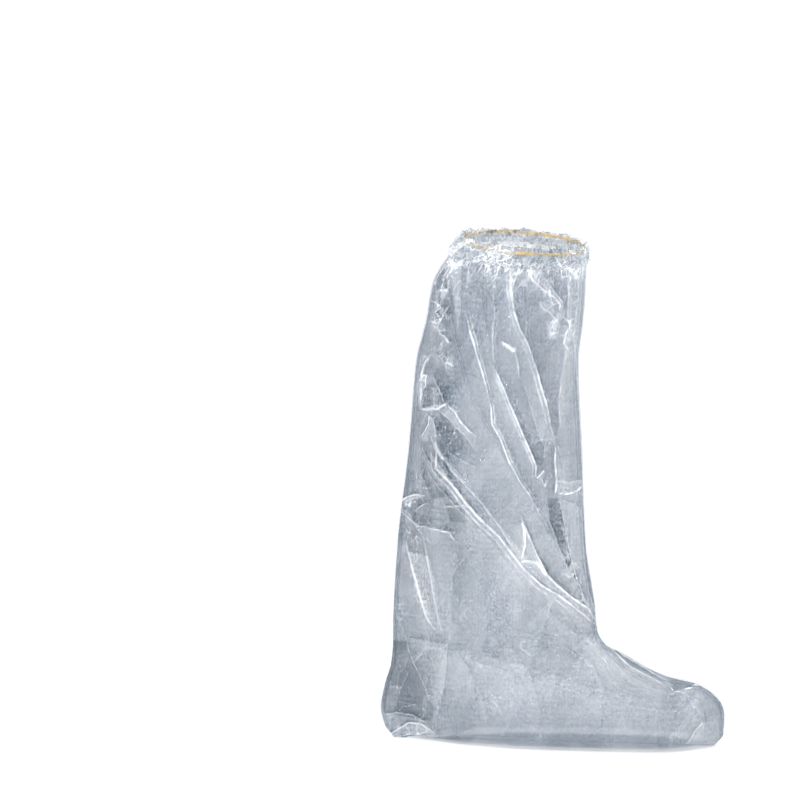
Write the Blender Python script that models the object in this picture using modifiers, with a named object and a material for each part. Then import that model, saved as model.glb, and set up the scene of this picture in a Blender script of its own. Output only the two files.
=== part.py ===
"""Knee-high shoe cover of thin clear film, standing as it hangs on a leg and over a shoe.

Two film halves meet in the middle plane at a welded edge. A gathered hem at the top holds a ring
of elastic round the leg opening. Metres, +X to the toe, +Y to the wearer's left, +Z up, with the
origin at the centre of the leg opening.
"""

import math

import bmesh
import bpy
import numpy as np

# Outer sizes
HEIGHT = 0.474  # sole underside to the elastic
HEEL_REACH = 0.137  # leg axis to the back edge at the heel
TOE_REACH = 0.191  # leg axis to the front edge at the toe
HALF_WIDTH = 0.058  # middle plane to the widest film of the shaft
OPENING_TILT = math.radians(5.0)  # the opening rises towards the back of the leg
TILT_START = 0.80  # share of the height where the film begins to follow that tilt

# Film, welded edge, hem and elastic
FILM_WALL = 0.0010
GAP = 0.0003  # kept between pieces that touch
HEM_GAP = 0.0007  # from the slanted lower edge of the hem to the film halves below it
WELD_THICKNESS = 0.0010
WELD_STAND = 0.0015  # how far the weld stands out past the film halves
WELD_DEPTH = 0.0045  # how far it reaches in between them
HEM_DEPTH = 0.0160  # bottom of the hem below the elastic
HEM_FLAP = 0.0090  # bottom of the turned-in flap below the elastic
HEM_PUFF = 0.0030  # how far the hem swells out past the elastic
ELASTIC_WIDTH = 0.0050
ELASTIC_THICKNESS = 0.0012
PLEATS_PER_SIDE = 9
PLEAT_DEPTH = 0.0024
PLEAT_FADE = 0.090  # share of the height over which the pleats die out below the hem
PLEAT_START = 0.6  # share of the pleats' depth at the lower edge of the hem

# Mesh density
PANEL_COLUMNS = 27
FOOT_ROWS = 13
SHAFT_ROWS = 21
SOLE_ROWS = 2
HEM_COLUMNS_PER_SIDE = 36
ELASTIC_COLUMNS_PER_SIDE = 24
FOOT_TOP = 0.228  # share of the height at the crease over the instep
FOOT_CROWDING = 1.25  # above 1, the rows of the foot crowd towards the sole
SOLE_STEP = 0.0030  # how far each sole row starts in from the heel and the toe

# One row for each section. Heights are shares of HEIGHT above the sole, back and front are
# shares of HEEL_REACH and TOE_REACH, half is a share of HALF_WIDTH and widest is where across
# the section that width lies. Fullness flattens the sides. A back or front edge of 0.5 is
# round, 1 is pointed and more is drawn out into a fin.
SECTIONS = np.array(
    [
        (0.000, 0.906, 0.943, 0.76, 0.66, 4.0, 2.4, 1.30),
        (0.005, 0.918, 0.958, 0.84, 0.66, 4.0, 2.4, 1.25),
        (0.024, 0.969, 0.993, 0.92, 0.66, 4.0, 2.4, 1.20),
        (0.064, 1.000, 0.997, 0.94, 0.65, 3.8, 2.4, 1.20),
        (0.084, 0.989, 0.983, 0.93, 0.64, 3.6, 2.3, 1.20),
        (0.104, 0.975, 0.940, 0.90, 0.62, 3.4, 2.2, 1.20),
        (0.124, 0.955, 0.853, 0.86, 0.60, 3.2, 2.1, 1.20),
        (0.136, 0.941, 0.720, 0.83, 0.59, 3.1, 2.0, 1.20),
        (0.152, 0.927, 0.620, 0.79, 0.58, 3.0, 1.9, 1.15),
        (0.178, 0.917, 0.506, 0.74, 0.58, 2.9, 1.8, 1.10),
        (0.198, 0.913, 0.407, 0.71, 0.59, 2.8, 1.8, 1.05),
        (0.228, 0.913, 0.365, 0.70, 0.60, 2.7, 1.7, 1.00),
        (0.284, 0.906, 0.348, 0.74, 0.61, 2.6, 1.5, 0.95),
        (0.404, 0.879, 0.303, 0.86, 0.60, 2.5, 1.3, 0.90),
        (0.584, 0.803, 0.283, 0.97, 0.58, 2.4, 1.1, 0.85),
        (0.764, 0.747, 0.263, 1.00, 0.56, 2.3, 1.0, 0.80),
        (0.844, 0.678, 0.283, 0.98, 0.54, 2.2, 0.8, 0.70),
        (0.904, 0.636, 0.293, 0.95, 0.52, 2.1, 0.7, 0.60),
        (0.958, 0.530, 0.296, 0.91, 0.50, 2.0, 0.5, 0.50),
        (1.000, 0.423, 0.298, 0.89, 0.50, 2.0, 0.5, 0.50),
    ],
    dtype=[
        (name, float)
        for name in ("height", "back", "front", "half", "widest", "fullness", "back_edge", "front_edge")
    ],
)

# Shares of the section and of the height over which folds die out at the weld and at the sole
FOLD_EDGE = 0.12
FOLD_BOTTOM = 0.06

# One row for each fold, from one end to the other. Side is -1 for the wearer's right and 1 for
# the left. Heights are shares of HEIGHT, across runs from 0 at the back edge to 1 at the front
# edge, and width and depth are shares of HALF_WIDTH. A negative depth is a dent.
FOLDS = np.array(
    [
        (-1, 0.600, 0.14, 0.410, 0.49, 0.19, 0.13),
        (-1, 0.410, 0.49, 0.250, 0.96, 0.19, 0.13),
        (-1, 0.545, 0.12, 0.330, 0.52, 0.21, -0.12),
        (-1, 0.872, 0.19, 0.686, 0.46, 0.17, 0.09),
        (-1, 0.686, 0.46, 0.442, 0.79, 0.17, 0.09),
        (-1, 0.848, 0.60, 0.560, 0.86, 0.17, 0.10),
        (-1, 0.950, 0.56, 0.860, 0.84, 0.18, 0.08),
        (-1, 0.444, 0.70, 0.300, 0.88, 0.17, 0.09),
        (-1, 0.446, 0.04, 0.206, 0.22, 0.20, 0.09),
        (-1, 0.206, 0.06, 0.066, 0.16, 0.20, 0.07),
        (1, 0.640, 0.20, 0.400, 0.55, 0.19, 0.13),
        (1, 0.400, 0.55, 0.250, 0.95, 0.19, 0.13),
        (1, 0.900, 0.30, 0.620, 0.52, 0.17, 0.09),
        (1, 0.860, 0.62, 0.540, 0.84, 0.17, 0.10),
        (1, 0.520, 0.30, 0.340, 0.62, 0.21, -0.10),
        (1, 0.460, 0.05, 0.240, 0.26, 0.20, 0.09),
    ],
    dtype=[("side", int)]
    + [(name, float) for name in ("height_a", "across_a", "height_b", "across_b", "width", "depth")],
)

# One row for each line of the hem's film, from its outer bottom edge over the top to the flap.
# Outline is the share of the height whose section it follows, out is its distance outside that
# outline and pleat is its share of PLEAT_DEPTH.
CASING = 0.5 * (ELASTIC_THICKNESS + FILM_WALL) + GAP
HEM_SHOULDER = 0.5 * ELASTIC_WIDTH + GAP
HEM_TOP = 0.5 * (ELASTIC_WIDTH + FILM_WALL) + 3 * GAP
HEM_START = 1.0 - HEM_DEPTH / HEIGHT
PANEL_TOP = HEM_START - HEM_GAP / HEIGHT
HEM_LINES = np.array(
    [
        (-HEM_DEPTH, HEM_START, -0.5 * FILM_WALL, PLEAT_START),
        (-0.62 * HEM_DEPTH, 1.0 - 0.62 * HEM_DEPTH / HEIGHT, 0.6 * HEM_PUFF, 1.0),
        (-0.5 * ELASTIC_WIDTH, 1.0, HEM_PUFF, 1.0),
        (HEM_SHOULDER, 1.0, 0.85 * HEM_PUFF, 0.5),
        (HEM_TOP, 1.0, 0.5 * CASING, 0.0),
        (HEM_TOP, 1.0, -0.5 * CASING, 0.0),
        (HEM_SHOULDER, 1.0, -CASING, 0.0),
        (-HEM_FLAP, 1.0, -CASING, 0.0),
    ],
    dtype=[(name, float) for name in ("level", "outline", "out", "pleat")],
)


def column(name, share):
    """A column of SECTIONS at any height, by a cubic through its rows that never overshoots."""
    heights = SECTIONS["height"]
    values = SECTIONS[name]
    steps = np.diff(values) / np.diff(heights)
    slopes = np.concatenate([steps[:1], np.zeros(len(steps) - 1), steps[-1:]])
    same_way = steps[:-1] * steps[1:] > 0
    pairs = steps[:-1][same_way], steps[1:][same_way]
    slopes[1:-1][same_way] = 2 * pairs[0] * pairs[1] / (pairs[0] + pairs[1])
    share = np.clip(share, heights[0], heights[-1])
    row = np.clip(np.searchsorted(heights, share, side="right") - 1, 0, len(steps) - 1)
    span = heights[row + 1] - heights[row]
    s = (share - heights[row]) / span
    start = values[row] * (1 + 2 * s) * (1 - s) ** 2 + slopes[row] * span * s * (1 - s) ** 2
    end = values[row + 1] * s**2 * (3 - 2 * s) - slopes[row + 1] * span * s**2 * (1 - s)
    return start + end


def ramp(start, end, value):
    """Rises smoothly from 0 at start to 1 at end."""
    s = np.clip((value - start) / (end - start), 0.0, 1.0)
    return s * s * (3 - 2 * s)


def back_edge(share):
    return -HEEL_REACH * column("back", share)


def front_edge(share):
    return TOE_REACH * column("front", share)


def level(share, x):
    """Height above the origin of a section's point, which leans with the opening near the top."""
    return HEIGHT * (share - 1.0) - x * math.tan(OPENING_TILT) * ramp(TILT_START, PANEL_TOP, share)


def section(share, turn):
    """x and half width of a section, where turn runs from 0 at the back to 1 at the front."""
    across = 0.5 * (1 - np.cos(math.pi * turn))
    back = back_edge(share)
    x = back + (front_edge(share) - back) * across
    widest = column("widest", share)
    behind = across < widest
    away = np.where(behind, (widest - across) / widest, (across - widest) / (1 - widest))
    shape = np.where(behind, column("back_edge", share), column("front_edge", share))
    rise = np.clip(1 - away ** column("fullness", share), 0.0, 1.0) ** shape
    return x, HALF_WIDTH * column("half", share) * rise, across


def fold_height(side, share, across):
    """The folds of one side: rounded ridges and dents along straight lines, which don't add up."""
    ridge = np.zeros(np.broadcast(share, across).shape)
    dent = np.zeros_like(ridge)
    length = float(np.mean(front_edge(share) - back_edge(share)))
    for fold in FOLDS[FOLDS["side"] == side]:
        line_x = (fold["across_b"] - fold["across_a"]) * length
        line_z = (fold["height_b"] - fold["height_a"]) * HEIGHT
        dx = (across - fold["across_a"]) * length
        dz = (share - fold["height_a"]) * HEIGHT
        on_line = np.clip((dx * line_x + dz * line_z) / (line_x**2 + line_z**2), 0.0, 1.0)
        away = np.hypot(dx - on_line * line_x, dz - on_line * line_z)
        shape = np.exp(-((away / (fold["width"] * HALF_WIDTH)) ** 2)) * fold["depth"] * HALF_WIDTH
        ridge = np.maximum(ridge, shape)
        dent = np.minimum(dent, shape)
    return ridge + dent


def pleat(turn):
    """The gathers round the opening, between 0 and 1."""
    return 0.5 + 0.5 * np.cos(2 * math.pi * PLEATS_PER_SIDE * turn)


def row_heights(foot_rows):
    """Shares of the height for the rows of the film, closest together over the foot."""
    foot = np.linspace(0.0, 1.0, foot_rows + 1)[:-1] ** FOOT_CROWDING * FOOT_TOP
    return np.concatenate([foot, np.linspace(FOOT_TOP, PANEL_TOP, SHAFT_ROWS + 1)])


def panel_points(side):
    """Grid of one film half: rows from the middle of the sole out to its edge and up to the hem."""
    turn = np.linspace(0.0, 1.0, PANEL_COLUMNS + 1)[None, :]
    share = row_heights(FOOT_ROWS)[:, None]
    x, half, across = section(share, turn)
    ripple = PLEAT_DEPTH * PLEAT_START * pleat(turn) * ramp(PANEL_TOP - PLEAT_FADE, PANEL_TOP, share)
    edges = ramp(0.0, FOLD_EDGE, across) * ramp(0.0, FOLD_EDGE, 1 - across) * ramp(0.0, FOLD_BOTTOM, share)
    inner = 0.5 * WELD_THICKNESS + GAP
    y = np.maximum(half + ripple + fold_height(side, share, across) * edges, inner + FILM_WALL)
    wall = np.stack([x, side * y, level(share, x)], axis=-1)

    rows = []
    for row in range(SOLE_ROWS, 0, -1):
        part = row / SOLE_ROWS
        inset = SOLE_STEP * row
        ends = wall[0, [0, -1], 0]
        sole_x = np.interp(wall[0, :, 0], ends, [ends[0] + inset, ends[1] - inset])
        sole_y = (1 - part) * y[0] + part * inner
        rows.append(np.stack([sole_x, side * sole_y, wall[0, :, 2]], axis=-1))
    return np.concatenate([np.stack(rows), wall])


def grid_object(name, points, flip, closed_columns=False, closed_rows=False, split=False):
    """A surface through a grid of points, with the columns or rows joined into rings if asked.

    Split cuts each square from its upper back corner to its lower front corner, the way the long
    folds run.
    """
    rows, columns = points.shape[:2]
    last_row = rows if closed_rows else rows - 1
    last_column = columns if closed_columns else columns - 1
    r, c = np.meshgrid(np.arange(last_row), np.arange(last_column), indexing="ij")
    r_next = (r + 1) % rows
    c_next = (c + 1) % columns
    low_back, low_front = r * columns + c, r * columns + c_next
    high_front, high_back = r_next * columns + c_next, r_next * columns + c
    if split:
        corners = [low_back, low_front, high_back, low_front, high_front, high_back]
        faces = np.stack(corners, axis=-1).reshape(-1, 3)
    else:
        faces = np.stack([low_back, low_front, high_front, high_back], axis=-1).reshape(-1, 4)
    if flip:
        faces = faces[:, ::-1]
    mesh = bpy.data.meshes.new(name)
    mesh.from_pydata(points.reshape(-1, 3).tolist(), [], faces.tolist())
    mesh.shade_smooth()
    obj = bpy.data.objects.new(name, mesh)
    parts.objects.link(obj)
    return obj


def thicken(obj, wall, offset):
    """Gives an open surface its wall."""
    modifier = obj.modifiers.new("wall", "SOLIDIFY")
    modifier.thickness = wall
    modifier.offset = offset
    modifier.use_even_offset = False
    modifier.use_rim = True


def film_panel(name, side, material):
    obj = grid_object(name, panel_points(side), flip=side > 0, split=True)
    thicken(obj, FILM_WALL, -1.0)
    obj.data.materials.append(material)


def middle_outline():
    """The edge of the film halves in the middle plane, down the back, forward and up the front."""
    share = row_heights(2 * FOOT_ROWS)
    back = np.stack([back_edge(share), level(share, back_edge(share))], axis=-1)[::-1]
    front = np.stack([front_edge(share), level(share, front_edge(share))], axis=-1)
    sole = np.linspace(back[-1], front[0], FOOT_ROWS + 1)[1:-1]
    return np.concatenate([back, sole, front])


def weld_seam(material):
    """A flat strip in the middle plane: it stands out past the film, and lies flush in the sole."""
    line = middle_outline()
    along = np.gradient(line, axis=0)
    along /= np.linalg.norm(along, axis=1, keepdims=True)
    outward = np.stack([along[:, 1], -along[:, 0]], axis=-1)
    flat = np.clip(-outward[:, 1], 0.0, 1.0)[:, None]
    outward[0] = (-1.0, 0.0)
    outward[-1] = (1.0, 0.0)
    outer = line + outward * WELD_STAND * (1 - flat)
    inner = line - outward * (WELD_DEPTH * (1 - flat) + FILM_WALL * flat)
    outer[:, 1] = np.maximum(outer[:, 1], line[:, 1].min())
    half = 0.5 * WELD_THICKNESS
    corners = [(outer, -half), (outer, half), (inner, half), (inner, -half)]
    loops = [np.stack([edge[:, 0], np.full(len(edge), y), edge[:, 1]], axis=-1) for edge, y in corners]
    points = np.stack(loops, axis=1)
    obj = grid_object("weld_seam", points, flip=False, closed_columns=True)
    close_ends(obj, 4)
    obj.data.materials.append(material)


def close_ends(obj, sides):
    """Caps the first and the last ring of a strip and turns every face outwards."""
    edit = bmesh.new()
    edit.from_mesh(obj.data)
    edit.verts.ensure_lookup_table()
    edit.faces.new([edit.verts[i] for i in range(sides)])
    edit.faces.new([edit.verts[len(edit.verts) - 1 - i] for i in range(sides)])
    bmesh.ops.recalc_face_normals(edit, faces=edit.faces)
    edit.to_mesh(obj.data)
    edit.free()
    obj.data.shade_flat()


def ring(share, out, columns_per_side):
    """x and y of a section's whole outline, moved outwards by out, which may vary round it."""
    turn = np.arange(2 * columns_per_side) / columns_per_side
    side = np.where(turn <= 1.0, 1.0, -1.0)
    turn = np.where(turn <= 1.0, turn, 2.0 - turn)
    x, half, _ = section(np.full(turn.shape, share), turn)
    line = np.stack([x, side * half], axis=-1)
    along = np.roll(line, -1, axis=0) - np.roll(line, 1, axis=0)
    along /= np.linalg.norm(along, axis=1, keepdims=True)
    outward = np.stack([-along[:, 1], along[:, 0]], axis=-1)
    return line + outward * (out * np.ones(len(turn)))[:, None], turn


def tilted(line, z):
    """Points of a ring at height z on the tilted opening."""
    return np.stack([line[:, 0], line[:, 1], z - line[:, 0] * math.tan(OPENING_TILT)], axis=-1)


def top_hem(material):
    """The film turned over the elastic, swollen and pleated by the gathers."""
    rows = []
    for row in HEM_LINES:
        turn = ring(1.0, 0.0, HEM_COLUMNS_PER_SIDE)[1]
        out = row["out"] + row["pleat"] * PLEAT_DEPTH * pleat(turn)
        line = ring(row["outline"], out, HEM_COLUMNS_PER_SIDE)[0]
        rows.append(tilted(line, row["level"]))
    obj = grid_object("top_hem", np.stack(rows), flip=True, closed_columns=True)
    thicken(obj, FILM_WALL, 0.0)
    obj.data.materials.append(material)


def elastic_band(material):
    """A flat ring of elastic inside the hem."""
    z = 0.5 * ELASTIC_WIDTH
    out = 0.5 * ELASTIC_THICKNESS
    profile = [(-z, out), (z, out), (z, -out), (-z, -out)]
    rows = [tilted(ring(1.0, d, ELASTIC_COLUMNS_PER_SIDE)[0], level_z) for level_z, d in profile]
    obj = grid_object("elastic_band", np.stack(rows), flip=True, closed_columns=True, closed_rows=True)
    obj.data.shade_flat()
    obj.data.materials.append(material)


def finish(name, color, roughness):
    material = bpy.data.materials.new(name)
    material.use_nodes = True
    shader = material.node_tree.nodes["Principled BSDF"]
    shader.inputs["Base Color"].default_value = (*color, 1.0)
    shader.inputs["Roughness"].default_value = roughness
    shader.inputs["Metallic"].default_value = 0.0
    return material


for old in list(bpy.data.objects):
    bpy.data.objects.remove(old, do_unlink=True)
parts = bpy.data.collections.new("shoe_cover")
bpy.context.scene.collection.children.link(parts)

clear_film = finish("clear_film", (0.48, 0.55, 0.62), 0.20)
welded_film = finish("welded_film", (0.62, 0.68, 0.74), 0.28)
gathered_film = finish("gathered_film", (0.66, 0.70, 0.74), 0.25)
yellow_latex = finish("yellow_latex", (0.80, 0.60, 0.22), 0.45)

film_panel("film_panel_right", -1, clear_film)
film_panel("film_panel_left", 1, clear_film)
weld_seam(welded_film)
top_hem(gathered_film)
elastic_band(yellow_latex)
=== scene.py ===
"""Dresses the solids of a knee-high clear film shoe cover as the worn cover looks.

The film halves are two wrinkled sheets, joined at a welded edge and gathered into a ruffled hem
round a ring of yellow elastic. Metres, in the frame of the solids: +X to the toe, +Y to the
cover's left, +Z up, with the origin at the centre of the opening.
"""

import math
from collections import namedtuple

import bpy
import numpy as np
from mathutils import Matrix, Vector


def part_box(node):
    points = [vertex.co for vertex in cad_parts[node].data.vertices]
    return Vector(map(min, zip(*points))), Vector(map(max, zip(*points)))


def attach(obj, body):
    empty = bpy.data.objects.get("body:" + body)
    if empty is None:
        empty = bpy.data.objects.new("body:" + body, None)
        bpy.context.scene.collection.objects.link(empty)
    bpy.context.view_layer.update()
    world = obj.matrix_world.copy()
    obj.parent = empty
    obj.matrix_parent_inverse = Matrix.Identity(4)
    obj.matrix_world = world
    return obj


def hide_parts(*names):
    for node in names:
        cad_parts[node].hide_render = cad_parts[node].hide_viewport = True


bl_info = {
    "name": "Clear Film Shoe Cover",
    "version": (1, 0, 0),
    "blender": (4, 5, 0),
    "location": "3D View > Sidebar > Shoe Cover",
    "description": "Makes the wrinkled film, hem, elastic and welded edge of a shoe cover",
    "category": "Object",
}

# The frame of the solids
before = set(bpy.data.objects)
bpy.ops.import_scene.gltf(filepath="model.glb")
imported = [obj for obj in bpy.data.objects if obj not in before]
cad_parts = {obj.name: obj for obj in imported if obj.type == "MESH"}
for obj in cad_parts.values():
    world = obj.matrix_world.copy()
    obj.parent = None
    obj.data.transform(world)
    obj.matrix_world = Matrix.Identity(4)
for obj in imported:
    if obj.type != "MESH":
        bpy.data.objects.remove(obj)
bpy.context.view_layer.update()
PANEL_LOW, PANEL_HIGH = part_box("film_panel_right")

# The photo's view: 800 pixels square, with the opening's centre at OPENING_PIXEL. CAMERA_REACH is
# how far the camera sees, and SENSOR_WIDTH is in millimetres.
PHOTO = 800.0
PIXELS_PER_METRE = 1066.0
OPENING_PIXEL = (525.0, 243.0)
CAMERA_DISTANCE = 5.0
CAMERA_AZIMUTH = math.radians(8.0)
CAMERA_ELEVATION = math.radians(7.0)
CAMERA_REACH = 100.0
SENSOR_WIDTH = 36.0

# Floor and lights. A light is square on to LIGHT_AIM, with its width and height and its watts.
FLOOR_RADIUS = 30.0
FLOOR_CLEARANCE = 0.0004
Light = namedtuple("Light", "name place size power")
LIGHT_AIM = (0.02, 0.0, -0.24)
LIGHTS = [
    Light("key", (-1.3, -1.7, 1.3), (0.6, 1.0), 16.0),
    Light("streak_left", (-0.9, -1.5, 0.1), (0.06, 1.2), 5.0),
    Light("streak_right", (1.2, -1.3, 0.3), (0.06, 1.2), 6.0),
    Light("streak_top", (0.1, -1.1, 1.2), (1.2, 0.06), 5.0),
    Light("rim_back", (-1.2, 1.2, 0.6), (0.3, 1.2), 9.0),
    Light("rim_front", (1.5, 0.9, 0.5), (0.3, 1.2), 9.0),
]

# Light from all round, at the horizon and overhead, and the backdrop that the camera sees
HORIZON_LIGHT = (0.26, 0.27, 0.29)
ZENITH_LIGHT = (1.26, 1.27, 1.29)
BACKDROP_LIGHT = (1.0, 1.0, 1.0)

# Mesh density. ROW_CROWDING over 1 sets the rows closer together near the sole.
PANEL_COLUMNS = 244
PANEL_ROWS = 396
SOLE_ROWS = 10
ROW_CROWDING = 1.12
HEM_COLUMNS = 1100
HEM_ROWS = 64
WELD_ROWS = 900
ELASTIC_COLUMNS = 480
ELASTIC_SIDES = 16
FLOOR_COLUMNS = 97
FLOOR_RINGS = 25

# Film: the share of the height at which it begins to lean with the opening, how far it reaches up
# under the hem and how far its ends draw in under the sole, the shares of the section and the
# height over which its folds die out, and the pitch of its embossed diamonds
TILT_START = 0.80
HEM_OVERLAP = 0.0015
SOLE_INSET = 0.006
WELD_FADE = 0.05
SOLE_FADE = 0.02
EMBOSS_PITCH = 0.0060

# Film's edges: how far it swings sideways in slow and quick waves and the share of the section
# over which it does, the height below the hem over which painted sheen and painted highlights of
# shards die out, and how much lighter it is up to a small share of the height above the sole
SLOW_SWING = 0.0022
QUICK_SWING = 0.0008
SWING_REACH = 0.16
TOP_FADE = 0.012
SOLE_TONE = 0.4
SOLE_EDGE = 0.012

# Fans: how far their creases rise, the radius in pixels within which they are flatter, and how
# many creases they waver by over how many pixels
FAN_RISE = 0.0016
FAN_FLAT = 60
FAN_WAVER = 1.2
FAN_WAVER_STEP = 30

# Hem: gap to the elastic, heights above the elastic of the swell's end, the crest and the inner
# edge, slack of the inner film, how far it hangs below the elastic's middle, and the photo's
# columns between which the elastic begins and ceases to show through
HEM_CLEARANCE = 0.0005
HEM_TURN = (0.0012, 0.0018, 0.0008)
HEM_SLACK = 0.0003
HEM_INSIDE = 0.009
BARE_START = (506, 516)
BARE_END = (564, 572)

# Hem's crumples: how far shards, chips and knots move the film in and out, how far the turned edge
# rises and is ruffled, and how far the puffs at the front and the back go out and up and how wide
# they are, as shares of half the ring
SHARD_MOVE = 0.0024
CHIP_MOVE = 0.0009
KNOT_MOVE = 0.0034
EDGE_RISE = 0.0052
EDGE_RUFFLE = 0.0012
PUFF_OUT = 0.0012
PUFF_UP = 0.0030
PUFF_FRONT = 0.045
PUFF_BACK = 0.06

# Elastic: how far it waves, its waves in one half of the ring and how square its bar is
ELASTIC_WAVE = 0.0006
ELASTIC_WAVES = 30
ELASTIC_SQUARENESS = 0.35

# Weld: stations across it from its inner to its outer edge, as shares of its depth and its stand,
# its thickness as a share of the gap, how far it ripples and over how many rows, how far it dips
# under the sole, and the height above the sole over which it begins to swing with the film
WELD_STATIONS = np.array([-1.0, -0.75, -0.5, -0.25, 0.0, 0.34, 0.67, 1.0])
WELD_FILL = 0.6
WELD_RIPPLE = 0.0005
WELD_RIPPLE_ROWS = 7.0
WELD_DIP = 0.0008
WELD_REST = 0.004

# Opacity, roughness and how strongly light bends in the films
HEM_OPACITY = 0.34
FILM_ROUGHNESS = 0.20
HEM_ROUGHNESS = 0.16
FILM_IOR = 1.52

# Random lattices: their steps each way, the power that sharpens ridges, and the seed of each
LATTICE = 256
CELL_LATTICE = 64
RIDGE_POWER = 0.8
SEEDS = {
    "hem_shift": 13,
    "hem_facets": 14,
    "hem_chips": 15,
    "hem_knots": 16,
    "hem_edge": 17,
    "weld": 18,
    "hem_slant": 20,
    "elastic": 20,
    "top_shards": 22,
    "top_breaks": 23,
    "slow_swing": 90,
    "quick_swing": 91,
}

# Gathers of the film round the opening: how many lie along one half, how fast they change down
# the film and up the hem, their depth and how far down they reach
Gathers = namedtuple("Gathers", "count down_change up_change depth reach seed")
FINE = Gathers(46, 34, 60, 0.0022, 0.018, 11)
COARSE = Gathers(19, 16, 40, 0.0034, 0.055, 12)

# Lines of the folds, painted highlights on their crests: the share of its length over which a fold
# dies out at each end, the share of brightness left at its tips, the pixels between slow and quick
# flickers, how many line widths away its painted shadow runs, the painted shade of the shadow, the
# painted light and shade of a flank, what a white line adds to the flank's, and the painted sheen
# of a band
FOLD_FADE = 0.15
TIP_HIGHLIGHT = 0.25
FLICKERS = (16, 4)
SHADOW_PLACE = 2.6
SHADOW_TONE = 0.30
PAINTED_FLANK_SHADE = 0.10
FLANK_SHADE_PER_HIGHLIGHT = 0.16
PAINTED_BAND_SHEEN = 0.30

# Cells of the crushed film: how far right and down lean on each other, and their width and height
# in pixels on the near side and the far side. At MEAN_DEPTH inside a cell the film stays level.
Cells = namedtuple("Cells", "lean_right lean_down width near_height far_height")
LONG_CELLS = Cells(0.42, -0.35, 24, 88, 88)
CROSS_CELLS = Cells(-0.5, 0.4, 30, 36, 36)
SMALL_CELLS = Cells(0.3, -0.1, 9.5, 14, 24)
TINY_CELLS = Cells(-0.2, 0.2, 4.6, 5.6, 5.6)
MEAN_DEPTH = 0.4

# One row for each section. Heights are shares of the height above the sole, back and front are
# shares of the heel's and the toe's reach, half is a share of the half width and widest is where
# across the section that width lies. Fullness flattens the sides. A back or front edge of 0.5 is
# round, 1 is pointed and more is drawn out into a fin.
SECTION_COLUMNS = ("height", "back", "front", "half", "widest", "fullness", "back_edge", "front_edge")
SECTIONS = np.array(
    [
        (0.000, 0.906, 0.943, 0.76, 0.66, 4.0, 2.4, 1.30),
        (0.005, 0.918, 0.958, 0.84, 0.66, 4.0, 2.4, 1.25),
        (0.024, 0.969, 0.993, 0.92, 0.66, 4.0, 2.4, 1.20),
        (0.064, 1.000, 0.997, 0.94, 0.65, 3.8, 2.4, 1.20),
        (0.084, 0.989, 0.983, 0.93, 0.64, 3.6, 2.3, 1.20),
        (0.104, 0.975, 0.940, 0.90, 0.62, 3.4, 2.2, 1.20),
        (0.124, 0.955, 0.853, 0.86, 0.60, 3.2, 2.1, 1.20),
        (0.136, 0.941, 0.720, 0.83, 0.59, 3.1, 2.0, 1.20),
        (0.152, 0.927, 0.620, 0.79, 0.58, 3.0, 1.9, 1.15),
        (0.178, 0.917, 0.506, 0.74, 0.58, 2.9, 1.8, 1.10),
        (0.198, 0.913, 0.407, 0.71, 0.59, 2.8, 1.8, 1.05),
        (0.228, 0.913, 0.365, 0.70, 0.60, 2.7, 1.7, 1.00),
        (0.284, 0.906, 0.348, 0.74, 0.61, 2.6, 1.5, 0.95),
        (0.404, 0.879, 0.303, 0.86, 0.60, 2.5, 1.3, 0.90),
        (0.584, 0.803, 0.283, 0.97, 0.58, 2.4, 1.1, 0.85),
        (0.764, 0.747, 0.263, 1.00, 0.56, 2.3, 1.0, 0.80),
        (0.844, 0.678, 0.283, 0.98, 0.54, 2.2, 0.8, 0.70),
        (0.904, 0.636, 0.293, 0.95, 0.52, 2.1, 0.7, 0.60),
        (0.958, 0.530, 0.296, 0.91, 0.50, 2.0, 0.5, 0.50),
        (1.000, 0.423, 0.298, 0.89, 0.50, 2.0, 0.5, 0.50),
    ],
    dtype=[(name, float) for name in SECTION_COLUMNS],
)
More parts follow.
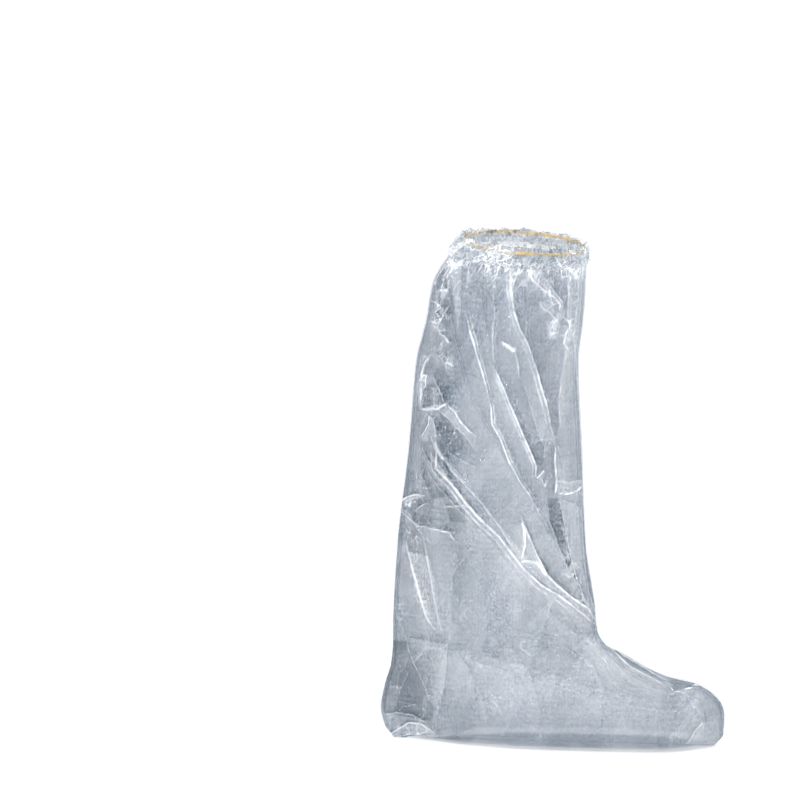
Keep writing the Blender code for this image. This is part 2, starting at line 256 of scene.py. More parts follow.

# A fold of the film, along a bent line of the photo's pixels. Rise is in millimetres, and width,
# line and band in pixels. Lean makes the flank on the image's left of a line that runs down wider.
# White is how bright the painted highlight on the crest is, partly the whitening of creased
# film. A band is a strip of painted sheen on the left, or on the right where it is negative,
# which ends in a second fainter painted highlight.
Fold = namedtuple("Fold", "name rise width lean white line band points")
NEAR_FOLDS = [
    Fold("drag", 5.0, 9, 0.4, 1.25, 0.75, 5, [
        (429, 438), (436, 452), (439, 468), (453, 484), (465, 500), (477, 515), (500, 537),
        (512, 553), (524, 569), (541, 585), (557, 595), (577, 611), (598, 626)]),
    Fold("drag_upper", 2.4, 6, -0.3, 0.8, 0.6, 0, [
        (441, 455), (451, 470), (465, 485), (482, 504), (500, 527), (512, 546), (521, 558)]),
    Fold("drag_lower", 2.2, 7, 0.3, 0.38, 0.7, -4, [
        (427, 470), (441, 489), (462, 512), (484, 534), (500, 553), (510, 567), (520, 580),
        (532, 594)]),
    Fold("shaft_back", 3.4, 8, 0.4, 1.1, 0.7, -3, [
        (461, 307), (466, 316), (471, 333), (480, 365), (486, 385), (491, 407), (492, 425),
        (500, 438), (509, 462), (520, 482), (530, 496), (539, 513), (549, 529)]),
    Fold("shaft_middle", 3.4, 8, 0.3, 1.15, 0.7, 3, [
        (491, 366), (495, 370), (503, 387), (510, 405), (519, 426), (528, 447), (536, 466),
        (537, 479)]),
    Fold("upper_strip", 2.2, 6, 0.3, 0.5, 0.8, -3, [
        (489, 257), (493, 285), (495, 314), (492, 338), (494, 366)]),
    Fold("shaft_front", 3.8, 8, 0.3, 1.0, 0.8, 4, [
        (511, 258), (511, 288), (514, 312), (520, 330), (526, 341), (531, 354), (537, 373),
        (545, 401), (550, 425), (556, 443), (559, 447)]),
    Fold("shaft_faint", 2.0, 6, -0.3, 0.4, 0.6, 0, [
        (519, 377), (525, 387), (531, 407), (537, 428), (545, 447), (544, 472)]),
    Fold("facet", 1.2, 4, 0.3, 0.8, 0.8, 0, [(499, 340), (507, 346), (515, 352), (518, 364), (519, 377)]),
    Fold("top_front", 2.6, 6, 0.4, 0.9, 0.8, -4, [
        (524, 262), (528, 270), (532, 280), (543, 290), (553, 297), (558, 304), (559, 314)]),
    Fold("top_front_twin", 1.4, 5, 0.3, 0.6, 0.6, 0, [
        (535, 262), (542, 275), (552, 288), (560, 303), (562, 316)]),
    Fold("top_knot", 1.6, 5, 0.3, 0.7, 0.8, -4, [
        (539, 300), (542, 308), (550, 313), (556, 320), (550, 330), (552, 340)]),
    Fold("front_strip", 2.8, 6, -0.4, 0.6, 0.8, -3, [
        (566, 262), (567, 300), (569, 330), (564, 345), (564, 361), (561, 379), (559, 401),
        (560, 425), (557, 445)]),
    Fold("front_strip_low", 2.4, 4, -0.3, 1.2, 0.7, 0, [(556, 443), (555, 462), (557, 480), (556, 496)]),
    Fold("front_crush", 1.6, 4, 0.2, 0.9, 0.8, 0, [(571, 322), (565, 334), (563, 343), (566, 361)]),
    Fold("front_long", 1.4, 5, -0.3, 0.5, 0.6, 0, [
        (575, 255), (577, 300), (574, 335), (576, 365), (579, 410)]),
    Fold("front_squiggle", 1.0, 3, 0.0, 0.9, 0.7, 0, [(537, 479), (541, 476), (544, 471), (546, 474)]),
    Fold("front_wedge", 1.2, 3, 0.0, 1.0, 0.8, 0, [(542, 479), (546, 487), (548, 479)]),
    Fold("back_crease_a", 1.2, 4, 0.0, 1.0, 0.6, 0, [(432, 301), (441, 307), (435, 312), (440, 318)]),
    Fold("back_crease_b", 1.1, 4, 0.0, 0.9, 0.6, 0, [(430, 321), (437, 323), (443, 320)]),
    Fold("back_crease_c", 1.2, 4, 0.0, 1.0, 0.8, 0, [(437, 333), (443, 336), (449, 344)]),
    Fold("back_crease_d", 1.0, 4, 0.0, 0.5, 0.6, 0, [(448, 305), (442, 318), (436, 330)]),
    Fold("back_hair_a", 1.0, 4, 0.2, 0.55, 0.6, 0, [(430, 349), (440, 358), (451, 372)]),
    Fold("back_hair_b", 0.9, 3, 0.2, 0.5, 0.6, 0, [(441, 352), (447, 360), (452, 369)]),
    Fold("back_ridge", 1.6, 4, 0.3, 0.9, 1.0, 0, [
        (429, 355), (424, 364), (421, 375), (421, 388), (419, 408)]),
    Fold("back_facet", 1.8, 6, 0.3, 0.45, 0.6, 0, [(430, 372), (438, 388), (442, 398), (444, 405)]),
    Fold("back_shelf", 2.0, 5, 0.5, 0.55, 0.9, 0, [(418, 409), (427, 410), (437, 409), (446, 404)]),
    Fold("back_tail", 3.0, 6, 0.4, 1.1, 0.6, 0, [
        (446, 404), (455, 412), (461, 422), (468, 430), (474, 436)]),
    Fold("back_tail_low", 1.8, 5, -0.3, 0.5, 0.6, 0, [(437, 408), (450, 420), (462, 433), (478, 453)]),
    Fold("back_hook", 2.4, 4, 0.2, 0.95, 0.6, 0, [
        (418, 439), (424, 432), (428, 424), (429, 416), (433, 421), (435, 432), (434, 440)]),
    Fold("back_blob", 1.4, 4, 0.2, 1.0, 1.3, 0, [(433, 440), (435, 447), (439, 453), (444, 461)]),
    Fold("back_run_a", 1.6, 5, 0.3, 0.5, 0.6, 3, [
        (419, 441), (425, 455), (433, 466), (441, 480), (450, 492)]),
    Fold("back_run_b", 1.2, 4, 0.3, 0.45, 0.6, 0, [(427, 449), (437, 462), (452, 481)]),
    Fold("back_run_c", 1.2, 5, 0.3, 0.35, 0.7, 0, [(447, 453), (460, 460), (478, 470)]),
    Fold("instep_fan_a", 2.4, 8, 0.2, 0.50, 0.6, 0, [
        (548, 497), (549, 521), (557, 545), (569, 572), (578, 593), (594, 618)]),
    Fold("instep_fan_b", 2.6, 9, -0.4, 0.55, 0.6, 0, [
        (560, 499), (564, 521), (568, 547), (575, 576), (581, 600), (596, 622)]),
    Fold("instep_fan_c", 2.0, 6, 0.3, 0.45, 0.6, 0, [
        (581, 500), (582, 530), (584, 562), (588, 592), (598, 622)]),
    Fold("instep_fan_d", 1.4, 4, 0.0, 0.5, 0.6, 0, [(576, 580), (580, 600), (592, 616), (600, 628)]),
    Fold("instep_fan_e", 1.4, 5, 0.3, 0.5, 0.6, 0, [(550, 524), (558, 548), (566, 568), (580, 592)]),
    Fold("gusset_back", 2.4, 5, 0.5, 1.2, 0.8, 0, [
        (522, 520), (524, 530), (525, 544), (523, 554), (520, 561)]),
    Fold("gusset_front", 3.6, 5, 0.5, 1.3, 0.8, 0, [
        (521, 518), (530, 539), (538, 558), (546, 574), (557, 586), (571, 598), (585, 609),
        (596, 620)]),
    Fold("gusset_base", 1.4, 4, 0.3, 0.9, 0.8, 0, [(521, 561), (534, 562), (541, 569)]),
    Fold("gusset_tip", 1.6, 5, 0.0, 1.0, 1.8, 0, [(534, 560), (539, 566), (547, 576)]),
    Fold("front_crease", 1.6, 4, 0.2, 0.55, 0.8, 0, [(557, 481), (569, 483), (582, 480)]),
    Fold("front_crease_low", 2.4, 4, 0.3, 1.5, 0.6, 0, [
        (557, 493), (563, 494), (570, 494), (577, 491), (582, 486)]),
    Fold("front_crease_side", 1.2, 4, 0.3, 0.5, 0.6, 0, [(560, 499), (570, 503), (579, 508), (582, 514)]),
    Fold("pinch_top", 2.0, 3, 0.3, 0.75, 0.8, 3, [(401, 501), (407, 497), (413, 495), (419, 495)]),
    Fold("pinch_bottom", 2.4, 5, 0.3, 0.75, 0.7, 0, [
        (402, 512), (410, 519), (420, 526), (434, 529), (449, 533), (456, 544)]),
    Fold("pinch_run", 1.4, 3, 0.3, 0.4, 0.6, 0, [(402, 508), (410, 516), (418, 527), (424, 536)]),
    Fold("pinch_tuft", 1.2, 3, 0.0, 0.85, 0.6, 0, [(413, 511), (419, 507), (426, 503)]),
    Fold("pinch_side", 1.2, 3, 0.0, 0.7, 0.6, 0, [(443, 507), (452, 506), (465, 505), (470, 508)]),
    Fold("heel_long_a", 2.4, 6, 0.4, 0.75, 0.8, 0, [
        (404, 535), (410, 560), (418, 590), (425, 615), (434, 631), (441, 635)]),
    Fold("heel_long_b", 2.2, 6, -0.3, 0.35, 0.8, 0, [(416, 512), (424, 540), (432, 588), (441, 634)]),
    Fold("heel_long_c", 2.0, 7, 0.3, 0.25, 0.6, 0, [(456, 544), (452, 580), (450, 610), (452, 634)]),
    Fold("heel_shelf", 1.4, 5, 0.4, 0.3, 0.6, 0, [(404, 638), (424, 641), (446, 645)]),
    Fold("heel_low", 2.6, 8, 0.4, 0.35, 0.6, 0, [(404, 639), (414, 664), (424, 686), (434, 709)]),
    Fold("heel_side", 1.6, 6, 0.3, 0.35, 0.6, 0, [(446, 645), (445, 672), (440, 700), (433, 722)]),
    Fold("heel_hem", 1.2, 4, 0.3, 0.6, 0.6, 0, [(383, 714), (396, 713), (412, 716), (427, 724)]),
    Fold("heel_lens", 1.8, 4, 0.3, 0.8, 0.6, 0, [
        (387, 736), (397, 730), (408, 723), (420, 724), (430, 731), (438, 741)]),
    Fold("heel_sole", 1.2, 3, 0.0, 0.6, 0.6, 0, [(392, 738), (410, 735), (426, 738)]),
    Fold("vamp", 2.8, 5, 0.4, 0.9, 0.6, 0, [
        (604, 640), (613, 651), (627, 665), (642, 673), (655, 680), (669, 687)]),
    Fold("vamp_upper", 2.2, 4, -0.3, 0.6, 0.6, 0, [
        (608, 642), (621, 654), (646, 669), (660, 678), (670, 680)]),
    Fold("vamp_across", 1.4, 4, 0.3, 0.8, 0.6, 0, [(666, 679), (670, 684), (674, 690)]),
    Fold("toe_top", 2.0, 5, 0.3, 1.0, 0.6, 0, [(671, 693), (680, 690), (688, 688), (700, 684)]),
    Fold("toe_bottom", 2.2, 5, 0.3, 0.9, 0.7, 0, [(687, 747), (692, 738), (696, 730), (704, 721)]),
    Fold("toe_side", 1.6, 7, 0.3, 0.25, 0.6, 0, [(676, 700), (690, 706), (700, 716), (706, 728)]),
    Fold("side_long", 2.4, 11, 0.3, 0.22, 0.6, -6, [
        (448, 648), (480, 664), (530, 678), (590, 696), (640, 708), (690, 712)]),
    Fold("side_heel", 2.2, 8, 0.3, 0.30, 0.6, 0, [(450, 642), (468, 668), (482, 700), (488, 732)]),
    Fold("side_ball", 2.0, 8, -0.3, 0.30, 0.6, 3, [(566, 640), (592, 668), (606, 702), (602, 738)]),
    Fold("side_arch", 1.8, 7, 0.2, 0.25, 0.6, 0, [(506, 640), (530, 676), (540, 712), (534, 740)]),
    Fold("side_bend", 2.0, 8, 0.3, 0.28, 0.6, 4, [
        (540, 602), (560, 622), (584, 640), (612, 660), (636, 684)]),
    Fold("side_instep", 1.6, 6, 0.3, 0.3, 0.6, 0, [
        (600, 632), (598, 650), (606, 672), (624, 690), (640, 694)]),
]
FAR_FOLDS = [
    Fold("drag", 5.0, 10, 0.3, 0.8, 0.8, 5, [
        (425, 410), (450, 460), (480, 506), (520, 550), (560, 588), (596, 620)]),
    Fold("drag_upper", 3.2, 9, 0.3, 0.6, 0.7, 0, [
        (470, 400), (500, 450), (530, 500), (560, 550), (592, 604)]),
    Fold("shaft_back", 3.4, 8, 0.2, 0.8, 0.7, 3, [
        (448, 290), (456, 340), (470, 392), (496, 440), (516, 470)]),
    Fold("shaft_front", 3.4, 8, 0.2, 0.7, 0.7, 0, [
        (520, 262), (526, 320), (540, 380), (552, 440), (566, 500)]),
    Fold("shaft_middle", 3.0, 8, 0.2, 0.7, 0.7, -4, [
        (478, 270), (486, 330), (500, 380), (522, 430), (530, 452)]),
    Fold("front_strip", 2.6, 7, 0.2, 0.6, 0.7, 3, [
        (548, 262), (560, 330), (570, 410), (574, 470), (584, 560)]),
    Fold("front_crease", 2.2, 5, 0.2, 0.9, 0.8, 0, [(548, 452), (560, 458), (576, 455)]),
    Fold("top_crush", 2.2, 5, 0.3, 0.9, 0.8, 3, [(500, 266), (508, 282), (520, 292), (524, 308)]),
    Fold("back_shelf", 2.2, 5, 0.4, 0.8, 0.7, 0, [(418, 372), (430, 368), (444, 374), (462, 396)]),
    Fold("back_crease", 1.6, 4, 0.0, 0.9, 0.7, 0, [(434, 318), (444, 324), (438, 332), (450, 338)]),
    Fold("pinch", 2.2, 4, 0.3, 0.8, 0.7, 0, [(404, 470), (420, 478), (440, 480)]),
    Fold("heel_long", 2.8, 8, 0.2, 0.6, 0.7, 4, [(412, 480), (414, 540), (424, 600), (440, 660)]),
    Fold("heel_low", 2.4, 8, 0.3, 0.5, 0.6, 0, [(396, 600), (410, 650), (430, 700)]),
    Fold("heel_lens", 1.8, 5, 0.3, 0.6, 0.7, 0, [(388, 722), (404, 714), (422, 720), (436, 732)]),
    Fold("instep_fan_a", 2.4, 8, 0.2, 0.5, 0.6, 0, [(540, 560), (562, 590), (596, 622)]),
    Fold("instep_fan_b", 2.2, 7, 0.2, 0.5, 0.6, 0, [(580, 520), (584, 570), (598, 620)]),
    Fold("vamp", 2.8, 7, 0.3, 0.7, 0.6, 3, [(600, 640), (626, 668), (654, 684), (680, 690)]),
    Fold("toe", 2.2, 6, 0.3, 0.6, 0.6, 0, [(680, 690), (700, 700), (708, 722)]),
    Fold("side_long", 2.4, 12, 0.3, 0.25, 0.6, 5, [(460, 650), (520, 664), (600, 690), (680, 706)]),
    Fold("side_ball", 2.2, 9, 0.3, 0.35, 0.6, 0, [(586, 650), (606, 690), (600, 734)]),
    Fold("side_heel", 2.2, 9, 0.3, 0.35, 0.6, 0, [(456, 640), (474, 684), (480, 730)]),
]

# A flat facet of the near film, a convex polygon of the photo's pixels, painted as light falls on
# it: painted sheen makes it paler and painted shading lighter or darker than the film round it.
Facet = namedtuple("Facet", "name haze tone points")
FACETS = [
    Facet("back_top", 0.00, -0.26, [(437, 274), (451, 262), (452, 314), (431, 314), (432, 300)]),
    Facet("back_strip", 0.55, 0.20, [(451, 262), (461, 262), (460, 310), (457, 335), (454, 310)]),
    Facet("back_panel", 0.06, -0.20, [(421, 384), (437, 382), (445, 403), (419, 408)]),
    Facet("shelf", 0.80, 0.00, [(418, 409), (432, 405), (446, 404), (438, 410), (426, 411)]),
    Facet("tail", 0.22, 0.10, [(437, 408), (447, 404), (474, 436), (466, 438)]),
    Facet("hook", 0.20, -0.05, [(429, 416), (434, 430), (436, 446), (420, 439)]),
    Facet("hook_tail", 0.12, -0.06, [(434, 442), (444, 453), (472, 484), (464, 488), (440, 462)]),
    Facet("drag_band_top", 0.12, 0.34, [(440, 456), (446, 458), (485, 506), (478, 513)]),
    Facet("drag_band", 0.22, 0.38, [(478, 513), (485, 506), (527, 558), (520, 564)]),
    Facet("drag_band_low", 0.20, 0.24, [(520, 564), (527, 558), (594, 616), (590, 621)]),
    Facet("dark_under_tail", 0.00, -0.34, [(440, 412), (464, 436), (461, 450), (448, 452), (436, 428)]),
    Facet("dark_under_hook", 0.00, -0.46, [(420, 446), (440, 472), (450, 496), (430, 500), (419, 470)]),
    Facet("back_column", 0.14, 0.14, [
        (411, 440), (416, 442), (420, 480), (430, 500), (424, 504), (414, 494)]),
    Facet("dark_square", 0.00, -0.36, [(446, 508), (465, 507), (466, 524), (448, 522)]),
    Facet("column", 0.10, 0.14, [(432, 497), (444, 497), (457, 545), (456, 640), (445, 640), (430, 530)]),
    Facet("pinch_leaf", 0.10, -0.14, [(402, 500), (419, 498), (440, 520), (430, 526), (404, 514)]),
    Facet("heel_leaf", 0.46, 0.14, [
        (408, 552), (428, 556), (434, 578), (443, 634), (436, 633), (425, 616), (414, 586)]),
    Facet("heel_dark", 0.00, -0.40, [
        (394, 640), (404, 640), (434, 709), (430, 722), (384, 713), (382, 700)]),
    Facet("heel_light", 0.10, 0.06, [(405, 638), (446, 645), (444, 690), (435, 709)]),
    Facet("heel_band", 0.10, -0.10, [(382, 714), (412, 716), (428, 723), (398, 731), (388, 733)]),
    Facet("heel_lens", 0.40, 0.00, [(396, 732), (411, 722), (424, 724), (437, 738), (412, 738)]),
    Facet("shaft_band", 0.12, 0.08, [(495, 372), (502, 386), (537, 468), (528, 470), (492, 424)]),
    Facet("front_band", 0.08, 0.08, [
        (519, 336), (528, 344), (543, 395), (557, 444), (545, 452), (530, 410)]),
    Facet("blob", 0.95, 0.00, [(498, 339), (506, 343), (517, 343), (517, 351), (512, 353), (505, 348)]),
    Facet("knot", 0.45, 0.05, [(546, 322), (556, 318), (562, 326), (558, 340), (549, 338)]),
    Facet("knot_top", 0.30, 0.05, [(538, 302), (546, 300), (556, 312), (552, 317), (541, 312)]),
    Facet("front_strip", 0.20, 0.05, [(566, 262), (585, 262), (578, 360), (565, 362), (568, 330)]),
    Facet("front_low", 0.04, 0.14, [(563, 362), (579, 360), (582, 480), (558, 480), (560, 400)]),
    Facet("front_crush", 0.35, 0.00, [(557, 481), (583, 479), (582, 487), (570, 494), (558, 494)]),
    Facet("front_dark", 0.00, -0.32, [(550, 498), (560, 499), (566, 540), (560, 546), (547, 531)]),
    Facet("front_light", 0.06, 0.10, [(561, 502), (582, 504), (583, 556), (573, 562), (566, 538)]),
    Facet("gusset", 0.55, 0.10, [(522, 521), (541, 568), (521, 561)]),
    Facet("gusset_low", 0.22, -0.08, [(521, 561), (541, 568), (575, 602), (588, 617), (557, 594)]),
    Facet("toe_dark", 0.00, -0.18, [(671, 681), (693, 683), (673, 689)]),
    Facet("vamp", 0.00, -0.12, [(606, 644), (646, 667), (670, 681), (668, 687), (640, 674)]),
    Facet("toe_rim", 0.00, -0.10, [(680, 690), (704, 686), (722, 704), (722, 728), (706, 728), (702, 708)]),
]

# Points that creases fan out from: their pixel, how many creases go round, the radii in pixels
# where they start and end, and their strength
Fan = namedtuple("Fan", "name x y count inner outer strength")
FANS = [
    Fan("instep", 598, 624, 48, 6, 120, 1.0),
    Fan("pinch", 400, 506, 40, 4, 70, 1.0),
    Fan("hook", 418, 440, 36, 5, 80, 0.7),
    Fan("front_crease", 584, 487, 30, 5, 50, 0.7),
    Fan("hem_back", 446, 256, 44, 6, 100, 0.8),
    Fan("hem_front", 574, 252, 44, 6, 90, 0.8),
    Fan("toe", 672, 688, 30, 5, 60, 0.6),
    Fan("heel", 386, 728, 30, 5, 70, 0.6),
]

# Painted light and shade on the near film, as ovals in the photo's pixels. Painted sheen whitens
# the film and makes it denser, painted shading lightens or darkens it, and crumple adds fine creases.
Patch = namedtuple("Patch", "name x y half_width half_height slant haze tone crumple")
PATCHES = [
    Patch("back_top", 444, 280, 9, 26, 0.15, 0.0, 0.0, 0.45),
    Patch("back_crumple", 441, 325, 9, 26, 0.10, 0.06, 0.0, 0.55),
    Patch("back_ridge", 422, 378, 6, 26, 0.10, 0.12, 0.0, 0.50),
    Patch("back_scuff", 446, 362, 8, 18, -0.40, 0.05, 0.0, 0.40),
    Patch("front_top", 575, 300, 6, 56, 0.00, 0.10, 0.1, 0.45),
    Patch("front_crumple", 550, 296, 7, 26, -0.60, 0.12, 0.0, 0.60),
    Patch("front_knot", 554, 328, 6, 13, 0.00, 0.20, 0.1, 0.50),
    Patch("front_side", 567, 338, 5, 18, 0.10, 0.26, 0.1, 0.75),
    Patch("front_tuft", 541, 477, 7, 9, -0.30, 0.12, 0.0, 0.45),
    Patch("front_band", 570, 486, 14, 9, 0.00, 0.12, 0.0, 0.15),
    Patch("shaft_fold_top", 512, 290, 4, 34, 0.02, 0.22, 0.1, 0.1),
    Patch("shaft_texture", 504, 404, 5, 30, -0.30, 0.16, 0.0, 0.25),
    Patch("dark_back", 436, 480, 24, 40, -0.10, 0.00, -0.12, 0.1),
    Patch("dark_back_high", 436, 375, 14, 30, 0.00, 0.00, -0.12, 0.2),
    Patch("instep", 576, 584, 12, 40, -0.35, 0.12, -0.05, 0.42),
    Patch("heel_texture", 416, 580, 8, 48, -0.20, 0.18, 0.0, 0.28),
    Patch("heel_foot", 410, 734, 24, 8, 0.00, 0.10, 0.0, 0.50),
    Patch("heel_back", 426, 545, 27, 76, -0.08, 0.00, -0.28, 0.0),
    Patch("back_shade", 450, 520, 12, 90, -0.06, 0.00, -0.32, 0.0),
    Patch("heel_low", 418, 674, 24, 26, 0.00, 0.00, -0.24, 0.0),
    Patch("front_light", 565, 350, 10, 88, 0.00, 0.06, 0.40, 0.0),
    Patch("back_notch", 446, 396, 8, 13, 0.00, 0.00, -0.30, 0.0),
    Patch("pinch", 410, 506, 10, 12, 0.00, 0.12, 0.0, 0.60),
    Patch("hem_edge", 515, 262, 70, 9, -0.08, 0.22, 0.05, 0.65),
    Patch("shaft_middle", 510, 440, 44, 190, 0.02, 0.05, 0.13, 0.0),
    Patch("foot", 575, 696, 125, 46, -1.20, 0.14, 0.24, 0.0),
]

# What differs between the two film halves: the sign of y, the folds, the seeds of the folds and of
# the crinkles, how many pixels left and down the fans are moved, and the strength of the painted
# highlights and of the painted shading
Half = namedtuple("Half", "piece node sign folds fold_seed crinkle_seed fan_left fan_down white tone")
HALVES = [
    Half("film_right", "film_panel_right", -1, NEAR_FOLDS, 100, 30, 0, 0, 1.0, 1.0),
    Half("film_left", "film_panel_left", 1, FAR_FOLDS, 300, 60, 7, 16, 0.9, 0.45),
]


# Sizes and colours that a user may change


def length(name, description, default):
    """A size in metres."""
    return bpy.props.FloatProperty(name=name, description=description, default=default, unit="LENGTH")


def angle(name, description, default):
    """A turn in radians, shown in degrees."""
    return bpy.props.FloatProperty(name=name, description=description, default=default, subtype="ANGLE")


def tint(name, description, default):
    """A colour as shares of red, green and blue."""
    return bpy.props.FloatVectorProperty(
        name=name, description=description, default=default, size=3, subtype="COLOR"
    )


class ShoeCoverSizes(bpy.types.PropertyGroup):
    height: length("Height", "Sole underside to the elastic", -PANEL_LOW[2])
    heel_reach: length("Heel Reach", "Middle of the opening to the back of the heel", -PANEL_LOW[0])
    toe_reach: length(
        "Toe Reach", "Middle of the opening to the toe", PANEL_HIGH[0] / SECTIONS["front"].max()
    )
    half_width: length("Half Width", "Middle plane to the widest film", 0.058)
    opening_tilt: angle("Opening Tilt", "Rise of the opening to the back", math.radians(5))
    opening_roll: angle("Opening Roll", "Rise of the opening to the left", math.radians(5))
    hem_depth: length("Hem Depth", "Bottom of the hem below the elastic", 0.016)
    hem_puff: length("Hem Puff", "How far the hem swells out", 0.0040)
    elastic_width: length("Elastic Width", "Height of the elastic band", 0.0028)
    elastic_thickness: length("Elastic Thickness", "Thickness of the elastic band", 0.0012)
    weld_stand: length("Weld Stand", "How far the weld stands out", 0.0015)
    weld_depth: length("Weld Depth", "How far the weld reaches in", 0.0045)
    film_gap: length("Film Gap", "Middle plane to each film at the weld", 0.0003)
    crinkle: bpy.props.FloatProperty(
        name="Crinkle", description="Strength of the small creases", default=1.0, min=0.0, max=3.0
    )


class ShoeCoverColours(bpy.types.PropertyGroup):
    film: tint("Film", "Clear film", (0.085, 0.120, 0.165))
    # The white of the painted highlights and sheen on the film, partly the whitening of creased film, and
    # of the weld's pale edge
    highlight_and_weld_white: tint("Crease", "Creased film", (0.92, 0.94, 0.96))
    hem: tint("Hem", "Gathered film", (0.19, 0.23, 0.28))
    latex: tint("Latex", "Elastic band", (0.74, 0.47, 0.09))
    floor: tint("Floor", "Floor and backdrop", (0.94, 0.94, 0.94))
    film_opacity: bpy.props.FloatProperty(
        name="Film Opacity", description="How much a plain film hides", default=0.53, min=0.0, max=1.0
    )


def sizes():
    return bpy.context.scene.shoe_cover_sizes


def colours():
    return bpy.context.scene.shoe_cover_colours


# Camera


def camera_axes():
    """Place of the camera and its right, up and back directions, a little up and to the toe."""
    azimuth, elevation = CAMERA_AZIMUTH, CAMERA_ELEVATION
    right = np.array([math.cos(azimuth), math.sin(azimuth), 0.0])
    level_back = math.cos(elevation)
    back = np.array([math.sin(azimuth) * level_back, -math.cos(azimuth) * level_back, math.sin(elevation)])
    up = np.cross(back, right)
    centre = PHOTO / 2
    aim = (right * (centre - OPENING_PIXEL[0]) - up * (centre - OPENING_PIXEL[1])) / PIXELS_PER_METRE
    return aim + back * CAMERA_DISTANCE, right, up, back


def photo_pixels(points):
    """Where points appear in the photo: their offsets right and up over their distance."""
    place, right, up, back = camera_axes()
    offset = points - place
    scale = PIXELS_PER_METRE * CAMERA_DISTANCE / -(offset @ back)
    return PHOTO / 2 + (offset @ right) * scale, PHOTO / 2 - (offset @ up) * scale


# Curves and noise


def ramp(start, end, value):
    """Rises smoothly from 0 at start to 1 at end."""
    s = np.clip((value - start) / (end - start), 0.0, 1.0)
    return s * s * (3 - 2 * s)


def bell(value):
    """Is 1 where the value is 0 and dies out to both sides: e to the power of minus its square."""
    return np.exp(-(value**2))


def cloud(x, y, seed, wrap=LATTICE):
    """Smooth noise from 0 to 1: a random value at each whole step, blended between them.

    It repeats after wrap steps of x, so that it can close round a ring.
    """
    lattice = np.random.default_rng(seed).random((wrap, LATTICE))
    x, y = np.broadcast_arrays(x, y)
    left, low = np.floor(x).astype(int), np.floor(y).astype(int)
    s, t = x - left, y - low
    s, t = s * s * (3 - 2 * s), t * t * (3 - 2 * t)
    a, b = left % wrap, (left + 1) % wrap
    c, d = low % LATTICE, (low + 1) % LATTICE
    first = lattice[a, c] * (1 - s) + lattice[b, c] * s
    second = lattice[a, d] * (1 - s) + lattice[b, d] * s
    return first * (1 - t) + second * t


def ridges(x, y, seed, wrap=LATTICE):
    """Creased noise from 0 to 1: 1 on sharp lines where the cloud crosses its middle."""
    return 1 - np.abs(2 * cloud(x, y, seed, wrap) - 1) ** RIDGE_POWER


def shards(x, y, seed):
    """A random value from -1 to 1 in each cell of a crushed sheet, and the depth inside the cell.

    The cells lie round one random point per whole step, and each place belongs to the nearest
    point. The depth is how much nearer that point is than the next one, so it is 0 on the straight
    creases between the cells.
    """
    lattice = np.random.default_rng(seed).random((3, CELL_LATTICE, CELL_LATTICE))
    step_x, step_y = np.floor(x).astype(int), np.floor(y).astype(int)
    first, second = np.full((2,) + x.shape, np.inf)
    value = np.zeros(x.shape)
    for right in (-1, 0, 1):
        for down in (-1, 0, 1):
            a, b = (step_x + right) % CELL_LATTICE, (step_y + down) % CELL_LATTICE
            away_x = step_x + right + lattice[0, a, b] - x
            away_y = step_y + down + lattice[1, a, b] - y
            away = np.hypot(away_x, away_y)
            value = np.where(away < first, 2 * lattice[2, a, b] - 1, value)
            second = np.minimum(second, np.maximum(first, away))
            first = np.minimum(first, away)
    return value, second - first


# The plain form


def section_share(name, share):
    """A column of SECTIONS at any height, by a cubic through its rows that never overshoots."""
    heights = SECTIONS["height"]
    values = SECTIONS[name]
    steps = np.diff(values) / np.diff(heights)
    slopes = np.concatenate([steps[:1], np.zeros(len(steps) - 1), steps[-1:]])
    same_way = steps[:-1] * steps[1:] > 0
    pairs = steps[:-1][same_way], steps[1:][same_way]
    slopes[1:-1][same_way] = 2 * pairs[0] * pairs[1] / (pairs[0] + pairs[1])
    share = np.clip(share, heights[0], heights[-1])
    row = np.clip(np.searchsorted(heights, share, side="right") - 1, 0, len(steps) - 1)
    span = heights[row + 1] - heights[row]
    s = (share - heights[row]) / span
    start = values[row] * (1 + 2 * s) * (1 - s) ** 2 + slopes[row] * span * s * (1 - s) ** 2
    end = values[row + 1] * s**2 * (3 - 2 * s) - slopes[row + 1] * span * s**2 * (1 - s)
    return start + end


def back_edge(share):
    return -sizes().heel_reach * section_share("back", share)


def front_edge(share):
    return sizes().toe_reach * section_share("front", share)


def hem_start():
    """Share of the height at the lower edge of the hem."""
    return 1.0 - sizes().hem_depth / sizes().height


def below_hem(share):
    """Metres from the hem's lower edge down to a share of the height, and 0 above the edge."""
    return np.clip(hem_start() - share, 0.0, None) * sizes().height


def slope(x, y):
    """Height of the opening's leaning plane: it rises to the back and to the cover's left."""
    return -x * math.tan(sizes().opening_tilt) + y * math.tan(sizes().opening_roll)


def level(share, x, y):
    """Height above the origin of a section's point, which leans with the opening near the top."""
    return sizes().height * (share - 1.0) + slope(x, y) * ramp(TILT_START, hem_start(), share)


def section(share, turn):
    """x, half width and share across of a section, with turn from 0 at the back to 1 in front."""
    across = 0.5 * (1 - np.cos(math.pi * turn))
    back = back_edge(share)
    x = back + (front_edge(share) - back) * across
    widest = section_share("widest", share)
    behind = across < widest
    away = np.where(behind, (widest - across) / widest, (across - widest) / (1 - widest))
    shape = np.where(behind, section_share("back_edge", share), section_share("front_edge", share))
    rise = np.clip(1 - away ** section_share("fullness", share), 0.0, 1.0) ** shape
    return x, sizes().half_width * section_share("half", share) * rise, across


